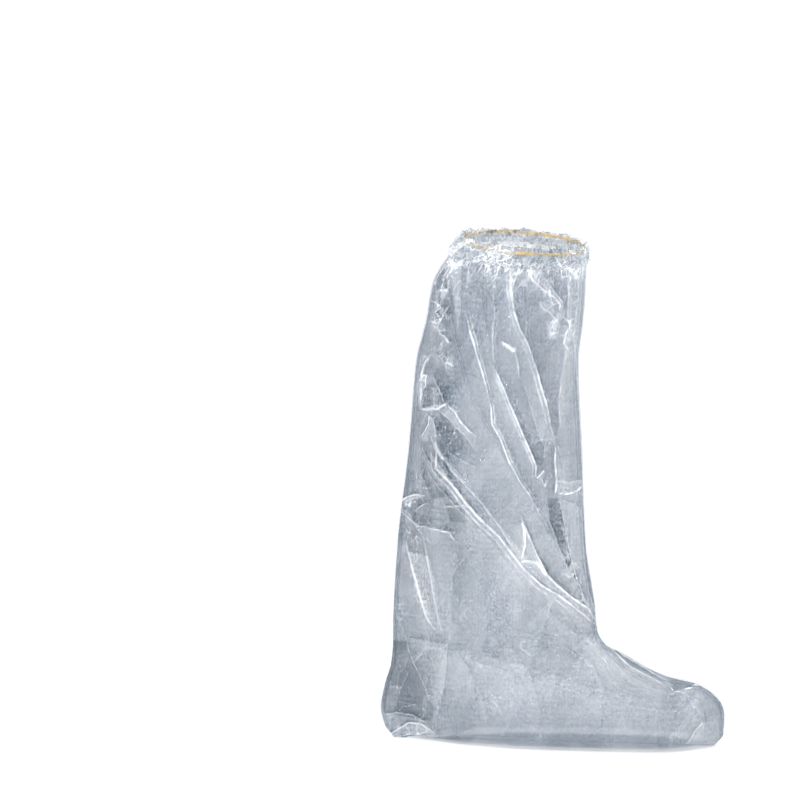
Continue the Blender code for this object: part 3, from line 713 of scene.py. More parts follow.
def panel_wall(sign):
    """Plain points of one film half, and each one's share of the height, turn and share across.

    The sections run from the middle of the sole out to its edge and up to the hem.
    """
    turn = np.linspace(0.0, 1.0, PANEL_COLUMNS + 1)[None, :]
    top = hem_start() + HEM_OVERLAP / sizes().height
    share = (np.linspace(0.0, 1.0, PANEL_ROWS + 1) ** ROW_CROWDING * top)[:, None]
    x, half, across = section(share, turn)
    y = np.maximum(half, sizes().film_gap)
    wall = np.stack([x, sign * y, level(share, x, sign * y)], axis=-1)

    ends = wall[0, [0, -1], 0]
    rows = []
    for part in np.linspace(1.0, 0.0, SOLE_ROWS, endpoint=False):
        inset = SOLE_INSET * part
        sole_x = np.interp(wall[0, :, 0], ends, [ends[0] + inset, ends[1] - inset])
        sole_y = (1 - part) * y[0] + part * sizes().film_gap
        rows.append(np.stack([sole_x, sign * sole_y, wall[0, :, 2]], axis=-1))
    plain = np.concatenate([np.stack(rows), wall])
    share = np.concatenate([np.zeros((SOLE_ROWS, 1)), share])
    return plain, share, turn, np.broadcast_to(across, plain.shape[:2])


# Folds and creases


def line_distance(px, py, points):
    """Signed distance from each place to a bent line, and the share of its length passed there."""
    points = np.array(points, float)
    steps = np.diff(points, axis=0)
    lengths = np.hypot(steps[:, 0], steps[:, 1])
    passed = np.concatenate([[0.0], np.cumsum(lengths)])
    nearest = np.full(px.shape, np.inf)
    signed = np.zeros(px.shape)
    share = np.zeros(px.shape)
    for start, step, length, before in zip(points, steps, lengths, passed):
        dx, dy = px - start[0], py - start[1]
        along = (dx * step[0] + dy * step[1]) / length**2
        on_line = np.clip(along, 0.0, 1.0)
        away = np.hypot(dx - on_line * step[0], dy - on_line * step[1])
        closer = away < nearest
        side = np.sign(dy * step[0] - dx * step[1])
        nearest = np.where(closer, away, nearest)
        signed = np.where(closer, away * side, signed)
        share = np.where(closer, (before + on_line * length) / passed[-1], share)
    return signed, share


def folds(px, py, table, seed):
    """Height of the folds in metres, painted highlights, painted sheen and painted shading.

    Each fold is half a round ridge and half a sharp one. Its height and its line die out at both
    ends, and the line's brightness flickers along it. The line is a painted highlight on the crest,
    partly the whitening of creased film. A thin painted shadow runs down each side of the line, and
    beyond it one flank is painted lighter and the other darker, as if lit and shaded.
    """
    height, white, haze, tone = np.zeros((4,) + px.shape)
    for number, fold in enumerate(table):
        signed, share = line_distance(px, py, fold.points)
        width = fold.width * (1 + fold.lean * np.sign(signed))
        ratio = np.abs(signed) / width
        ends = ramp(0.0, FOLD_FADE, share) * ramp(0.0, FOLD_FADE, 1 - share)
        tips = TIP_HIGHLIGHT + (1 - TIP_HIGHLIGHT) * ends
        height += fold.rise / 1000 * ends * (0.5 * bell(ratio) + 0.5 * np.exp(-1.5 * ratio))
        length = np.hypot(*np.diff(np.array(fold.points, float), axis=0).T).sum()
        slow, quick = (cloud(share * length / step, 0.5, seed + number) for step in FLICKERS)
        flicker = 0.10 + 0.60 * slow + 0.65 * quick
        # Painted highlight on the crest and painted shadow beside it
        crest = bell(signed / fold.line)
        shadow = bell((np.abs(signed) - SHADOW_PLACE * fold.line) / fold.line)
        tone -= SHADOW_TONE * fold.white * tips * flicker * shadow
        # A strip of painted sheen, edged by a second fainter painted highlight
        if fold.band:
            across = signed / fold.band
            crest += 0.5 * bell((signed - fold.band) / fold.line)
            strip = ramp(-0.1, 0.1, across) * ramp(1.1, 0.9, across)
            haze = np.maximum(haze, PAINTED_BAND_SHEEN * fold.white * ends * flicker * strip)
        white = np.maximum(white, fold.white * tips * flicker * crest)
        # Painted light on one flank and painted shade on the other
        flank_shade = PAINTED_FLANK_SHADE + FLANK_SHADE_PER_HIGHLIGHT * fold.white
        tone += flank_shade * ends * np.sign(signed) * np.sign(fold.lean + 0.01) * np.exp(-ratio / 1.4)
    return height, white, haze, tone


def facets(px, py):
    """Painted sheen and painted shading of the flat facets. A place is in a facet as far as its nearest
    edge is away.
    """
    total = np.zeros((2,) + px.shape)
    for facet in FACETS:
        corners = np.array(facet.points, float)
        nexts = np.roll(corners, -1, axis=0)
        turn = np.sign(np.sum(corners[:, 0] * nexts[:, 1] - nexts[:, 0] * corners[:, 1]))
        depth = np.full(px.shape, np.inf)
        for start, step in zip(corners, nexts - corners):
            away = (step[0] * (py - start[1]) - step[1] * (px - start[0])) * turn / np.hypot(*step)
            depth = np.minimum(depth, away)
        total += np.array([facet.haze, facet.tone])[:, None, None] * ramp(-1.0, 1.0, depth)
    return total


def fans(px, py, seed):
    """Height in metres and painted highlights of creases that fan out from the gathered points.

    The creases are ridges of the turn round the point, which waver with slow noise. They start
    at the inner radius, are flatter near the point and die out by the outer radius.
    """
    height, white = np.zeros((2,) + px.shape)
    for number, fan in enumerate(FANS):
        away_x, away_y = px - fan.x, py - fan.y
        radius = np.hypot(away_x, away_y)
        turn = (np.arctan2(away_y, away_x) / (2 * math.pi)) % 1.0 * fan.count
        waver = cloud(px / FAN_WAVER_STEP, py / FAN_WAVER_STEP, seed + 50 + number) - 0.5
        turn += FAN_WAVER * waver
        creases = ridges(turn, radius / FAN_FLAT, seed + number, fan.count)
        reach = ramp(fan.inner, fan.inner * 3, radius) * ramp(fan.outer, fan.outer * 0.35, radius)
        reach *= fan.strength
        height += FAN_RISE * (creases - 0.4) * reach * np.minimum(radius / FAN_FLAT, 1.0)
        # Painted highlights on the crests of the creases
        white = np.maximum(white, 0.55 * ramp(0.93, 1.0, creases) * reach)
    return height, white


def patches(px, py):
    """Sums of the painted sheen, the painted shading and the crumple of the places, each an oval that fades
    outwards.
    """
    total = np.zeros((3,) + px.shape)
    for patch in PATCHES:
        down = py - patch.y
        right = px - patch.x + patch.slant * down
        oval = np.exp(-(((down / patch.half_height) ** 2 + (right / patch.half_width) ** 2) ** 1.4))
        total += np.array([patch.haze, patch.tone, patch.crumple])[:, None, None] * oval
    return total


def pleats(crop, round_share, change):
    """Ridges from 0 to 1 of one crop of gathers. round_share runs from 0 to 2 round the opening."""
    return ridges(round_share * crop.count, change, crop.seed, 2 * crop.count)


def gathers(round_share, share):
    """Depth in metres of the hem's gathers, which merge and die out down the film.

    Two crops of vertical ridges run round the opening: fine ones die out first and coarse ones
    reach further down.
    """
    depth = 0.0
    for crop in (FINE, COARSE):
        ridge = pleats(crop, round_share, share * crop.down_change)
        depth = depth + crop.depth * (ridge * np.exp(-below_hem(share) / crop.reach) - 0.5)
    return depth


def cells(kind, x, y, seed, near):
    """The shards of one kind of cells on the near side or the far side."""
    height = kind.near_height if near else kind.far_height
    return shards((x + kind.lean_right * y) / kind.width, (y + kind.lean_down * x) / height, seed)


def crinkles(px, py, share, half, crumple):
    """Small creases in metres, the painted highlights on their crests and their painted shading.

    Long and crossing shards cover all of the film faintly. Small and tiny ones crush the crumpled
    places, where each shard has its own painted shading, as if it faced the light its own way, and
    broken painted highlights run on the creases round it. The foot is calmer.
    """
    seed, near = half.crinkle_seed, half.sign < 0
    x = px + 9 * cloud(px / 36, py / 50, seed)
    y = py + 9 * cloud(px / 40, py / 44, seed + 1)
    long, long_depth = cells(LONG_CELLS, x, y, seed + 2, near)
    cross, cross_depth = cells(CROSS_CELLS, x, y, seed + 3, near)
    small, small_depth = cells(SMALL_CELLS, x, y, seed + 4, near)
    tiny, tiny_depth = cells(TINY_CELLS, x, y, seed + 5, near)
    crumple = np.clip(crumple, 0.0, 1.2) * ramp(0.20, 0.6, cloud(px / 13, py / 13, seed + 7) + 0.2)
    calm = 1 - 0.45 * ramp(0.30, 0.18, share)
    height = 1.2 * calm * (MEAN_DEPTH - long_depth) + 0.8 * calm * (MEAN_DEPTH - cross_depth)
    small_height = (0.12 + 1.1 * crumple) * (MEAN_DEPTH - small_depth)
    height += small_height + (0.03 + 0.6 * crumple) * (MEAN_DEPTH - tiny_depth)
    chosen = ramp(0.50, 0.75, cloud(px / 26, py / 34, seed + 8))
    # Painted highlights on the creases, and on whole shards where the film is crumpled
    white = 0.18 * chosen * ramp(0.07, 0.0, long_depth) + 0.14 * chosen * ramp(0.07, 0.0, cross_depth)
    broken = 1.35 * crumple * ramp(0.30, 0.62, cloud(px / 7, py / 6, seed + 9))
    white += 0.75 * broken * ramp(0.16, 0.0, small_depth) + 0.35 * broken * ramp(0.26, 0.0, tiny_depth)
    white += crumple * (ramp(0.60, 0.95, small) * 0.4 + ramp(0.65, 0.95, tiny) * 0.4)
    # Painted shading that differs from shard to shard, as if each faced the light its own way
    tone = 0.10 * long + 0.08 * cross + 0.04 * small + crumple * (0.30 * small + 0.22 * tiny)
    return height * sizes().crinkle / 1000, white, tone


def flutter(px, py, across):
    """Sideways swing in metres of both films and the weld near the middle plane's edges."""
    slow = cloud(px / 48, py / 34, SEEDS["slow_swing"]) - 0.5
    quick = cloud(px / 14, py / 11, SEEDS["quick_swing"]) - 0.5
    swing = SLOW_SWING * slow + QUICK_SWING * quick
    return swing * (1 - ramp(0.0, SWING_REACH, np.minimum(across, 1 - across)))


def top_highlights(round_share, share):
    """Painted highlights just below the hem: lines along the fine gathers, and clusters of bright shards.
    """
    below = below_hem(share)
    lines = ramp(0.75, 1.0, pleats(FINE, round_share, share * FINE.down_change))
    across = round_share * CELL_LATTICE + below * 90
    shard, depth = shards(across, below * 85 + 0 * round_share, SEEDS["top_shards"])
    crushed = 0.7 * ramp(0.20, 0.0, depth) + 0.6 * ramp(0.4, 0.95, shard)
    crushed *= ramp(0.30, 0.65, cloud(round_share * 12, below * 60, SEEDS["top_breaks"], 24))
    return 0.7 * lines * np.exp(-below / 0.02) + crushed * bell(below / TOP_FADE)


def surface_normals(points):
    """Unit normals of a grid of points, from the cross product of its two directions."""
    normal = np.cross(np.gradient(points, axis=1), np.gradient(points, axis=0))
    return normal / np.maximum(np.linalg.norm(normal, axis=2, keepdims=True), 1e-9)


# Surfaces


def panel_surface(half):
    """Points and film values of one film half: painted highlights, painted sheen and painted shading.

    Folds, fans, crinkles and gathers lift the plain wall along its normal, and die out at the
    weld. The sole stays flat.
    """
    plain, share, turn, across = panel_wall(half.sign)
    px, py = photo_pixels(plain)
    if half.sign < 0:
        haze, tone, crumple = patches(px, py)
        facet_sheen, facet_shading = facets(px, py)
        haze, tone = haze + facet_sheen, tone + facet_shading
    else:
        haze, tone = 0.0, 0.0
        crumple = 0.55 * ramp(0.60, 0.85, cloud(px / 26, py / 34, half.crinkle_seed + 6))
    fold_height, fold_highlight, fold_sheen, fold_shading = folds(px, py, half.folds, half.fold_seed)
    fan_height, fan_highlight = fans(px + half.fan_left, py - half.fan_down, half.fold_seed + 90)
    crinkle_height, crinkle_highlight, crinkle_shading = crinkles(px, py, share, half, crumple)

    round_share = turn if half.sign > 0 else 2.0 - turn
    edges = ramp(0.0, WELD_FADE, across) * ramp(0.0, WELD_FADE, 1 - across)
    sole = ramp(0.0, SOLE_FADE, share)
    lift = (fold_height + fan_height + crinkle_height) * sole * (0.15 + 0.85 * edges)
    lift += gathers(round_share, share) * edges
    points = plain + surface_normals(plain) * -half.sign * lift[..., None]
    points[..., 1] = half.sign * np.maximum(half.sign * points[..., 1], sizes().film_gap)
    points[..., 1] += flutter(px, py, across) * sole
    points[..., 2] = np.maximum(points[..., 2], -sizes().height)

    # Painted highlights of the folds, fans and crinkles, fainter near the weld
    small_highlight = np.maximum(crinkle_highlight, fan_highlight) * (0.3 + 0.7 * edges)
    white = np.maximum(fold_highlight, small_highlight) * half.white
    # Painted sheen just below the hem
    top_sheen = 0.3 * np.exp(-below_hem(share) / TOP_FADE)
    sole_tone = SOLE_TONE * ramp(SOLE_EDGE, 0.0, share)
    values = {
        "painted_highlight": np.clip(np.maximum(white, top_highlights(round_share, share)), 0.0, 1.0),
        "haze": np.clip(haze + fold_sheen + top_sheen, 0.0, 1.0),
        "tone": tone + sole_tone + (fold_shading + crinkle_shading) * half.tone + 0.5,
    }
    return points, values


def grid_faces(rows, columns, closed_columns=False, closed_rows=False):
    """Squares between the rows and columns of a grid, which may join round into rings."""
    last_row = rows if closed_rows else rows - 1
    last_column = columns if closed_columns else columns - 1
    r, c = np.meshgrid(np.arange(last_row), np.arange(last_column), indexing="ij")
    r_next, c_next = (r + 1) % rows, (c + 1) % columns
    corners = [r * columns + c, r * columns + c_next, r_next * columns + c_next, r_next * columns + c]
    return np.stack(corners, axis=-1).reshape(-1, 4)


def make_surface(name, points, values, material, flip=False, closed_columns=False, closed_rows=False):
    """An object through a grid of points in metres, with one attribute for each value."""
    rows, columns = points.shape[:2]
    faces = grid_faces(rows, columns, closed_columns, closed_rows)
    if flip:
        faces = faces[:, ::-1]
    mesh = bpy.data.meshes.new(name)
    mesh.vertices.add(rows * columns)
    mesh.vertices.foreach_set("co", points.reshape(-1).astype(np.float32))
    mesh.loops.add(faces.size)
    mesh.loops.foreach_set("vertex_index", faces.reshape(-1).astype(np.int32))
    mesh.polygons.add(len(faces))
    mesh.polygons.foreach_set("loop_start", np.arange(0, faces.size, 4, dtype=np.int32))
    mesh.update(calc_edges=True)
    mesh.validate()
    for key, value in values.items():
        attribute = mesh.attributes.new(key, "FLOAT", "POINT")
        spread = np.broadcast_to(value, (rows, columns))
        attribute.data.foreach_set("value", spread.reshape(-1).astype(np.float32))
    mesh.shade_smooth()
    obj = bpy.data.objects.new(name, mesh)
    bpy.context.scene.collection.objects.link(obj)
    mesh.materials.append(material)
    return obj


def ring_shares(columns):
    """Even steps from 0 to 2 round the opening."""
    return (np.arange(columns) * 2.0 / columns)[None, :]


def ring_line(share, out, round_share):
    """x and y of a section's whole outline, moved outwards by out.

    round_share runs from 0 to 2, from the back along the cover's left and back along the right.
    """
    left = round_share <= 1.0
    x, half, _ = section(share, np.where(left, round_share, 2.0 - round_share))
    line = np.stack(np.broadcast_arrays(x, np.where(left, half, -half)), axis=-1)
    along = np.roll(line, -1, axis=-2) - np.roll(line, 1, axis=-2)
    along /= np.maximum(np.linalg.norm(along, axis=-1, keepdims=True), 1e-9)
    outward = np.stack([-along[..., 1], along[..., 0]], axis=-1)
    return line + outward * out[..., None]


def on_opening(line, height):
    """Points of a ring line at a height above the opening's leaning plane."""
    return np.concatenate([line, (height + slope(line[..., 0], line[..., 1]))[..., None]], axis=-1)


def hem_profile():
    """The casing's profile and the length passed along it at each row.

    It rises from the hem's lower edge, swells, turns over above the elastic and comes down inside.
    Each row has the height above the elastic's middle, how far out it lies and how freely it moves.
    """
    s = sizes()
    band = 0.5 * s.elastic_width
    inner = -0.5 * s.elastic_thickness - HEM_CLEARANCE
    swell_end, crest, inner_edge = HEM_TURN
    rows = {
        "edge": (-s.hem_depth, 0.0, 1.0),
        "low": (-0.80 * s.hem_depth, 0.30 * s.hem_puff, 1.0),
        "swell": (-0.55 * s.hem_depth, 0.65 * s.hem_puff, 1.0),
        "band": (-band, 0.50 * s.hem_puff, 0.9),
        "band_top": (band, 0.25 * s.hem_puff, 0.7),
        "swell_end": (band + swell_end, 0.12 * s.hem_puff, 0.6),
        "crest": (band + crest, 0.0, 0.5),
        "inner_edge": (band + inner_edge, inner, 0.4),
        "inside": (0.0, inner - HEM_SLACK, 0.25),
        "end": (-HEM_INSIDE, inner - 2 * HEM_SLACK, 0.25),
    }
    profile = np.array(list(rows.values()))
    steps = np.hypot(np.diff(profile[:, 0]), np.diff(profile[:, 1]))
    passed = np.concatenate([[0.0], np.cumsum(steps)])
    return profile, passed, dict(zip(rows, passed))


def hem_surface():
    """Points and film values of the hem: the casing's profile carried round the opening.

    Pleats carry on from the film below, and shards of two sizes and knots of slow noise crush
    them. A puff stands at the front and the back, and slow noise lifts the turned edge. Crests and
    shards carry painted highlights, knots and puffs painted sheen, and each shard its own painted
    shading. Over the elastic in front the film is thinner to the eye, so that the elastic shows
    through.
    """
    s = sizes()
    profile, passed, at = hem_profile()
    along = np.linspace(0.0, passed[-1], HEM_ROWS)[:, None]
    z, out, free = (np.interp(along, passed, profile[:, i]) for i in range(3))
    around = ring_shares(HEM_COLUMNS)
    share = np.where(along < at["band"], 1.0 + np.minimum(z, 0.0) / s.height, 1.0)

    loose = ramp(0.0, 0.006, along)
    turned = np.clip(along / at["crest"], 0.0, 1.0)
    inside = ramp(at["crest"], at["inside"], along)
    u = around + 0.016 * (cloud(around * 22, along * 160, SEEDS["hem_shift"], 44) - 0.5) * loose
    fine = pleats(FINE, u, hem_start() * FINE.down_change + along * FINE.up_change)
    coarse = pleats(COARSE, u, hem_start() * COARSE.down_change + along * COARSE.up_change)
    slant = u * 40 + 2.2 * (cloud(u * 11, along * 90, SEEDS["hem_slant"], 22) - 0.5)
    facet, facet_depth = shards(slant + along * 90, along * 170 + 0 * slant, SEEDS["hem_facets"])
    chip, chip_depth = shards(2 * slant - along * 160, along * 380 + 0 * slant, SEEDS["hem_chips"])
    crumple, crush = 1 - facet_depth, 1 - chip_depth
    knots = cloud(u * 15, along * 110, SEEDS["hem_knots"], 30)
    puff = bell((around - 1.0) / PUFF_FRONT) + 0.6 * bell(np.minimum(around, 2 - around) / PUFF_BACK)

    move = FINE.depth * (fine - 0.5) + COARSE.depth * (coarse - 0.5)
    crushing = SHARD_MOVE * (crumple - 0.5) + CHIP_MOVE * (crush - 0.5) + KNOT_MOVE * (knots - 0.5)
    move = move + loose * crushing
    move = move + loose * PUFF_OUT * puff * turned
    move = np.maximum(move * free, -0.6 * np.maximum(out, 0.0)) * (1 - 0.75 * inside)
    lift = EDGE_RISE * (cloud(u * 17, 0.5, SEEDS["hem_edge"], 34) - 0.42)
    lift = lift + EDGE_RUFFLE * (fine - 0.5) + EDGE_RUFFLE * (crumple - 0.5) + PUFF_UP * puff
    lift = lift * turned**2 * (1 - inside)
    points = on_opening(ring_line(share, out + move, around), z + lift)

    # Painted highlights on the crests and painted sheen on the shards, stronger in the knots
    crests = 0.8 * ramp(0.84, 1.0, crumple) + 0.5 * ramp(0.80, 1.0, crush) + 0.6 * ramp(0.88, 1.0, fine)
    shine = 0.6 * ramp(0.35, 0.9, facet) + 0.5 * ramp(0.45, 0.9, chip)
    lump = ramp(0.25, 0.75, knots)
    white = crests * (0.55 + 0.45 * lump) + shine * (0.24 + 0.36 * lump)
    # Painted sheen in the knots and puffs
    haze = 0.30 + 0.5 * (knots - 0.4) + 0.3 * puff
    px = photo_pixels(points)[0]
    bare = ramp(*BARE_START, px) * (1 - ramp(*BARE_END, px))
    over = ramp(at["swell"], at["band"], along) * (1 - ramp(at["inner_edge"], at["inside"], along))
    thick = 1 - 0.7 * bare * over
    values = {
        "painted_highlight": np.clip(white * thick * (1 - 0.6 * inside), 0.0, 1.0),
        "haze": np.clip(haze, 0.0, 1.0) * thick * (1 - 0.4 * inside),
        # Painted shading that differs from shard to shard
        "tone": 0.5 + 0.42 * facet + 0.34 * chip,
    }
    return points, values


def elastic_surface():
    """Points of the elastic: a rounded flat bar carried round the opening, slightly wavy."""
    s = sizes()
    corner = np.linspace(0.0, 2 * math.pi, ELASTIC_SIDES, endpoint=False)[:, None]
    circle = np.sin(corner), np.cos(corner)
    up, out = (np.sign(part) * np.abs(part) ** ELASTIC_SQUARENESS for part in circle)
    around = ring_shares(ELASTIC_COLUMNS)
    noise = cloud(around * ELASTIC_WAVES, 0.5, SEEDS["elastic"], 2 * ELASTIC_WAVES)
    wave = ELASTIC_WAVE * (noise - 0.5)
    line = ring_line(1.0, 0.5 * s.elastic_thickness * out + 0.5 * wave, around)
    return on_opening(line, 0.5 * s.elastic_width * up + wave)


def weld_surface():
    """Points of the weld: a thin closed strip along the middle plane's edge, which swings with it.

    The line runs down the back, along the sole and up the front. At each station across the strip
    it is moved outwards, except under the sole, where the strip lies flat.
    """
    s = sizes()
    share = np.linspace(0.0, 1.0, WELD_ROWS // 2) ** ROW_CROWDING * hem_start()
    back = np.stack([back_edge(share), level(share, back_edge(share), 0.0)], axis=-1)[::-1]
    front = np.stack([front_edge(share), level(share, front_edge(share), 0.0)], axis=-1)
    sole = np.linspace(back[-1], front[0], WELD_ROWS // 3)[1:-1]
    line = np.concatenate([back, sole, front])
    along = np.gradient(line, axis=0)
    along /= np.linalg.norm(along, axis=1, keepdims=True)
    outward = np.stack([along[:, 1], -along[:, 0]], axis=-1)
    flat = np.clip(-outward[:, 1], 0.0, 1.0)[:, None]
    noise = cloud(np.arange(len(line)) / WELD_RIPPLE_ROWS, 0.5, SEEDS["weld"]) - 0.5
    half = WELD_FILL * s.film_gap
    rows, across = [], []
    for y, order in ((-half, WELD_STATIONS), (half, WELD_STATIONS[::-1])):
        for station in order:
            reach = s.weld_stand * station if station > 0 else s.weld_depth * station
            edge = line + outward * reach * (1 - flat) + outward * flat * min(station, 0.0) * WELD_DIP
            edge[:, 1] = np.maximum(edge[:, 1], -s.height)
            ripple = WELD_RIPPLE * max(station, 0.0) * noise[:, None]
            edge = edge + outward * ripple * (1 - flat)
            point = np.stack([edge[:, 0], np.zeros(len(edge)), edge[:, 1]], axis=-1)
            px, py = photo_pixels(point)
            point[:, 1] = y + flutter(px, py, 0.0) * ramp(0.0, WELD_REST, edge[:, 1] + s.height)
            rows.append(point)
            across.append(np.full(len(edge), station))
    return np.stack(rows), np.stack(across)


# Materials


class Wire:
    """A socket's output in a material, with arithmetic that adds Math nodes."""

    def __init__(self, finish, socket):
        self.finish = finish
        self.socket = socket

    def maths(self, operation, *values):
        return self.finish.node("Math", {"operation": operation}, dict(enumerate(values)))

    def __add__(self, other):
        return self.maths("ADD", self, other)

    def __sub__(self, other):
        return self.maths("SUBTRACT", self, other)

    def __rsub__(self, other):
        return self.maths("SUBTRACT", other, self)

    def __mul__(self, other):
        return self.maths("MULTIPLY", self, other)

    __radd__ = __add__
    __rmul__ = __mul__

    def sine(self):
        return self.maths("SINE", self)

    def size(self):
        return self.maths("ABSOLUTE", self)

    def clamp(self, low=0.0, high=1.0):
        return self.finish.node("Clamp", {}, {"Value": self, "Min": low, "Max": high})

    def ramp(self, start, end):
        settings = {"interpolation_type": "SMOOTHSTEP"}
        return self.finish.node("MapRange", settings, {"Value": self, "From Min": start, "From Max": end})


class Finish:
    """A material, or the world's light, whose nodes are written as expressions."""

    def __init__(self, owner):
        self.owner = owner
        owner.use_nodes = True
        self.tree = owner.node_tree
        self.tree.nodes.clear()

    def node(self, kind, settings, sockets, output=0):
        """One node of a kind, with its settings first and then its sockets' values or links."""
        made = self.tree.nodes.new("ShaderNode" + kind)
        for key, value in settings.items():
            setattr(made, key, value)
        for key, value in sockets.items():
            if isinstance(value, Wire):
                self.tree.links.new(value.socket, made.inputs[key])
            else:
                made.inputs[key].default_value = value
        return Wire(self, made.outputs[output])

    def place(self):
        return self.node("TexCoord", {}, {}, "Object")

    def noise(self, scale, detail=2.0, stretch=(1.0, 1.0, 1.0)):
        mapped = self.node("Mapping", {}, {"Vector": self.place(), "Scale": stretch})
        return self.node("TexNoise", {}, {"Vector": mapped, "Scale": scale, "Detail": detail})

    def value(self, name):
        return self.node("Attribute", {"attribute_name": name}, {}, "Fac")

    def mix(self, share, first, second):
        """A blend of two colours by share."""
        first = first if isinstance(first, Wire) else (*first, 1.0)
        second = second if isinstance(second, Wire) else (*second, 1.0)
        sockets = {"Factor": share, 6: first, 7: second}
        return self.node("Mix", {"data_type": "RGBA"}, sockets, 2)

    def bump(self, height, distance, strength=1.0, normal=None):
        sockets = {"Height": height, "Distance": distance, "Strength": strength}
        if normal is not None:
            sockets["Normal"] = normal
        return self.node("Bump", {}, sockets)

    def show(self, shader, output="OutputMaterial"):
        surface = self.tree.nodes.new("ShaderNode" + output)
        self.tree.links.new(shader.socket, surface.inputs["Surface"])
        return self.owner

    def show_film(self, dense, gloss):
        """A surface that is glossy where it is dense and see-through elsewhere."""
        glossy = self.node("BsdfPrincipled", {}, gloss)
        clear = self.node("BsdfTransparent", {}, {})
        return self.show(self.node("MixShader", {}, {0: dense, 1: clear, 2: glossy}))


def emboss(finish):
    """The film's fine embossed diamonds: two crossing sets of slanted waves."""
    place = finish.place()
    x = finish.node("SeparateXYZ", {}, {"Vector": place}, "X")
    z = finish.node("SeparateXYZ", {}, {"Vector": place}, "Z")
    turns = 2 * math.pi / EMBOSS_PITCH
    return ((x + z * 0.6) * turns).sine() * ((x - z * 0.6) * turns).sine()


def film_finish(name, plain, opacity, roughness):
    """Clear glossy film, see-through where plain, with painted highlights, sheen and shade."""
    finish = Finish(bpy.data.materials.new(name))
    painted_highlight, haze, tone = (finish.value(key) for key in ("painted_highlight", "haze", "tone"))
    mottle = finish.noise(24.0, 3.0)
    grain = finish.noise(620.0, 2.0, (1.0, 1.0, 0.6))
    dots = emboss(finish)
    crease_noise = finish.noise(85.0, 3.0, (1.0, 1.0, 0.55))
    hair = ((crease_noise - 0.5).size()).ramp(0.016, 0.0) * mottle.ramp(0.42, 0.62)
    texture = ((grain - 0.5) * 2.0 + dots * 0.12) * (0.45 + haze * 0.4 + mottle.ramp(0.45, 0.75) * 0.4)
    # Painted highlights and sheen, with fine lines and grain, whiten the film
    white = (painted_highlight + haze * 0.42 + hair * 0.08 + texture * 0.35).clamp()
    # Shaded and lit copies of the film's colour, blended by the painted shading with random mottle and
    # grain
    dark = tuple(share * c for share, c in zip((0.20, 0.36, 0.46), plain))
    light = tuple(min(1.7 * c, 1.0) for c in plain)
    shade = (tone + (mottle - 0.5) * 0.5 + texture).clamp()
    colour = finish.mix(white, finish.mix(shade, dark, light), tuple(colours().highlight_and_weld_white))
    # Painted highlights, sheen and shade also make the film denser
    dense = painted_highlight * 0.52 + haze * 0.30 + hair * 0.06 + (mottle - 0.5) * 0.16 + texture * -0.22 + opacity
    dense = dense + (tone - 0.5) * -0.50
    gloss = {
        "Base Color": colour,
        "Roughness": (roughness + (grain - 0.5) * 0.12).clamp(0.05, 1.0),
        "IOR": FILM_IOR,
        "Specular IOR Level": 0.5,
        "Coat Weight": 0.20,
        "Coat Roughness": 0.05,
        "Normal": finish.bump(crease_noise, 0.0020, 0.8, finish.bump(dots, 0.00012, 0.7)),
    }
    return finish.show_film(dense.clamp(0.05, 0.97), gloss)


def weld_finish():
    """Two films melted together: a pale edge, with the press line along its inner side."""
    finish = Finish(bpy.data.materials.new("welded_film"))
    across = finish.value("across")
    line = ((across + 0.72).size()).ramp(0.22, 0.04)
    rim = across.ramp(0.0, 0.9)
    grain = finish.noise(420.0)
    plain = tuple(1.4 * c for c in colours().film)
    white = (line * 0.8 + rim * 0.85 + (grain - 0.5) * 0.4).clamp()
    gloss = {
        "Base Color": finish.mix(white, plain, tuple(colours().highlight_and_weld_white)),
        "Roughness": (0.24 + (grain - 0.5) * 0.2).clamp(),
        "IOR": FILM_IOR,
        "Specular IOR Level": 0.9,
        "Normal": finish.bump(grain, 0.0002),
    }
    return finish.show_film((0.12 + white * 0.75).clamp(), gloss)


def latex_finish():
    """Matt yellow latex with a stretched grain along the band."""
    finish = Finish(bpy.data.materials.new("yellow_latex"))
    grain = finish.noise(240.0, 3.0, (1.0, 1.0, 3.0))
    patchy = finish.noise(60.0)
    latex = tuple(colours().latex)
    pale = tuple(min(1.2 * c + 0.05, 1.0) for c in latex)
    matt = {
        "Base Color": finish.mix((grain * 0.5 + patchy * 0.5).ramp(0.3, 0.7), latex, pale),
        "Roughness": (0.42 + grain * 0.2).clamp(),
        "Normal": finish.bump(grain, 0.0002),
    }
    return finish.show(finish.node("BsdfPrincipled", {}, matt))


def floor_finish():
    """Plain pale paper with a faint grain."""
    finish = Finish(bpy.data.materials.new("pale_floor"))
    pale = tuple(colours().floor)
    colour = finish.mix(finish.noise(180.0), tuple(0.985 * c for c in pale), pale)
    return finish.show(finish.node("BsdfPrincipled", {}, {"Base Color": colour, "Roughness": 0.7}))


def studio_light():
    """Soft light all round, dim at the horizon and bright above, before a plain white backdrop."""
    finish = Finish(bpy.data.worlds.new("studio"))
    direction = finish.node("TexCoord", {}, {}, "Generated")
    upwards = finish.node("SeparateXYZ", {}, {"Vector": direction}, "Z")
    sky = finish.mix(upwards.ramp(-0.1, 0.75), HORIZON_LIGHT, ZENITH_LIGHT)
    seen = finish.node("LightPath", {}, {}, "Is Camera Ray")
    colour = finish.mix(seen, sky, BACKDROP_LIGHT)
    return finish.show(finish.node("Background", {}, {"Color": colour}), "OutputWorld")


# Operators


class SHOECOVER_OT_film(bpy.types.Operator):
    """Do nothing"""

    bl_idname = "shoecover.film"
    bl_label = "Film Halves"

    def execute(self, context):
        material = film_finish("clear_film", tuple(colours().film), colours().film_opacity, FILM_ROUGHNESS)
        for half in HALVES:
            points, values = panel_surface(half)
            film = make_surface(half.piece, points, values, material, flip=half.sign > 0)
            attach(film, "root")
            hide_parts(half.node)
        return {"FINISHED"}


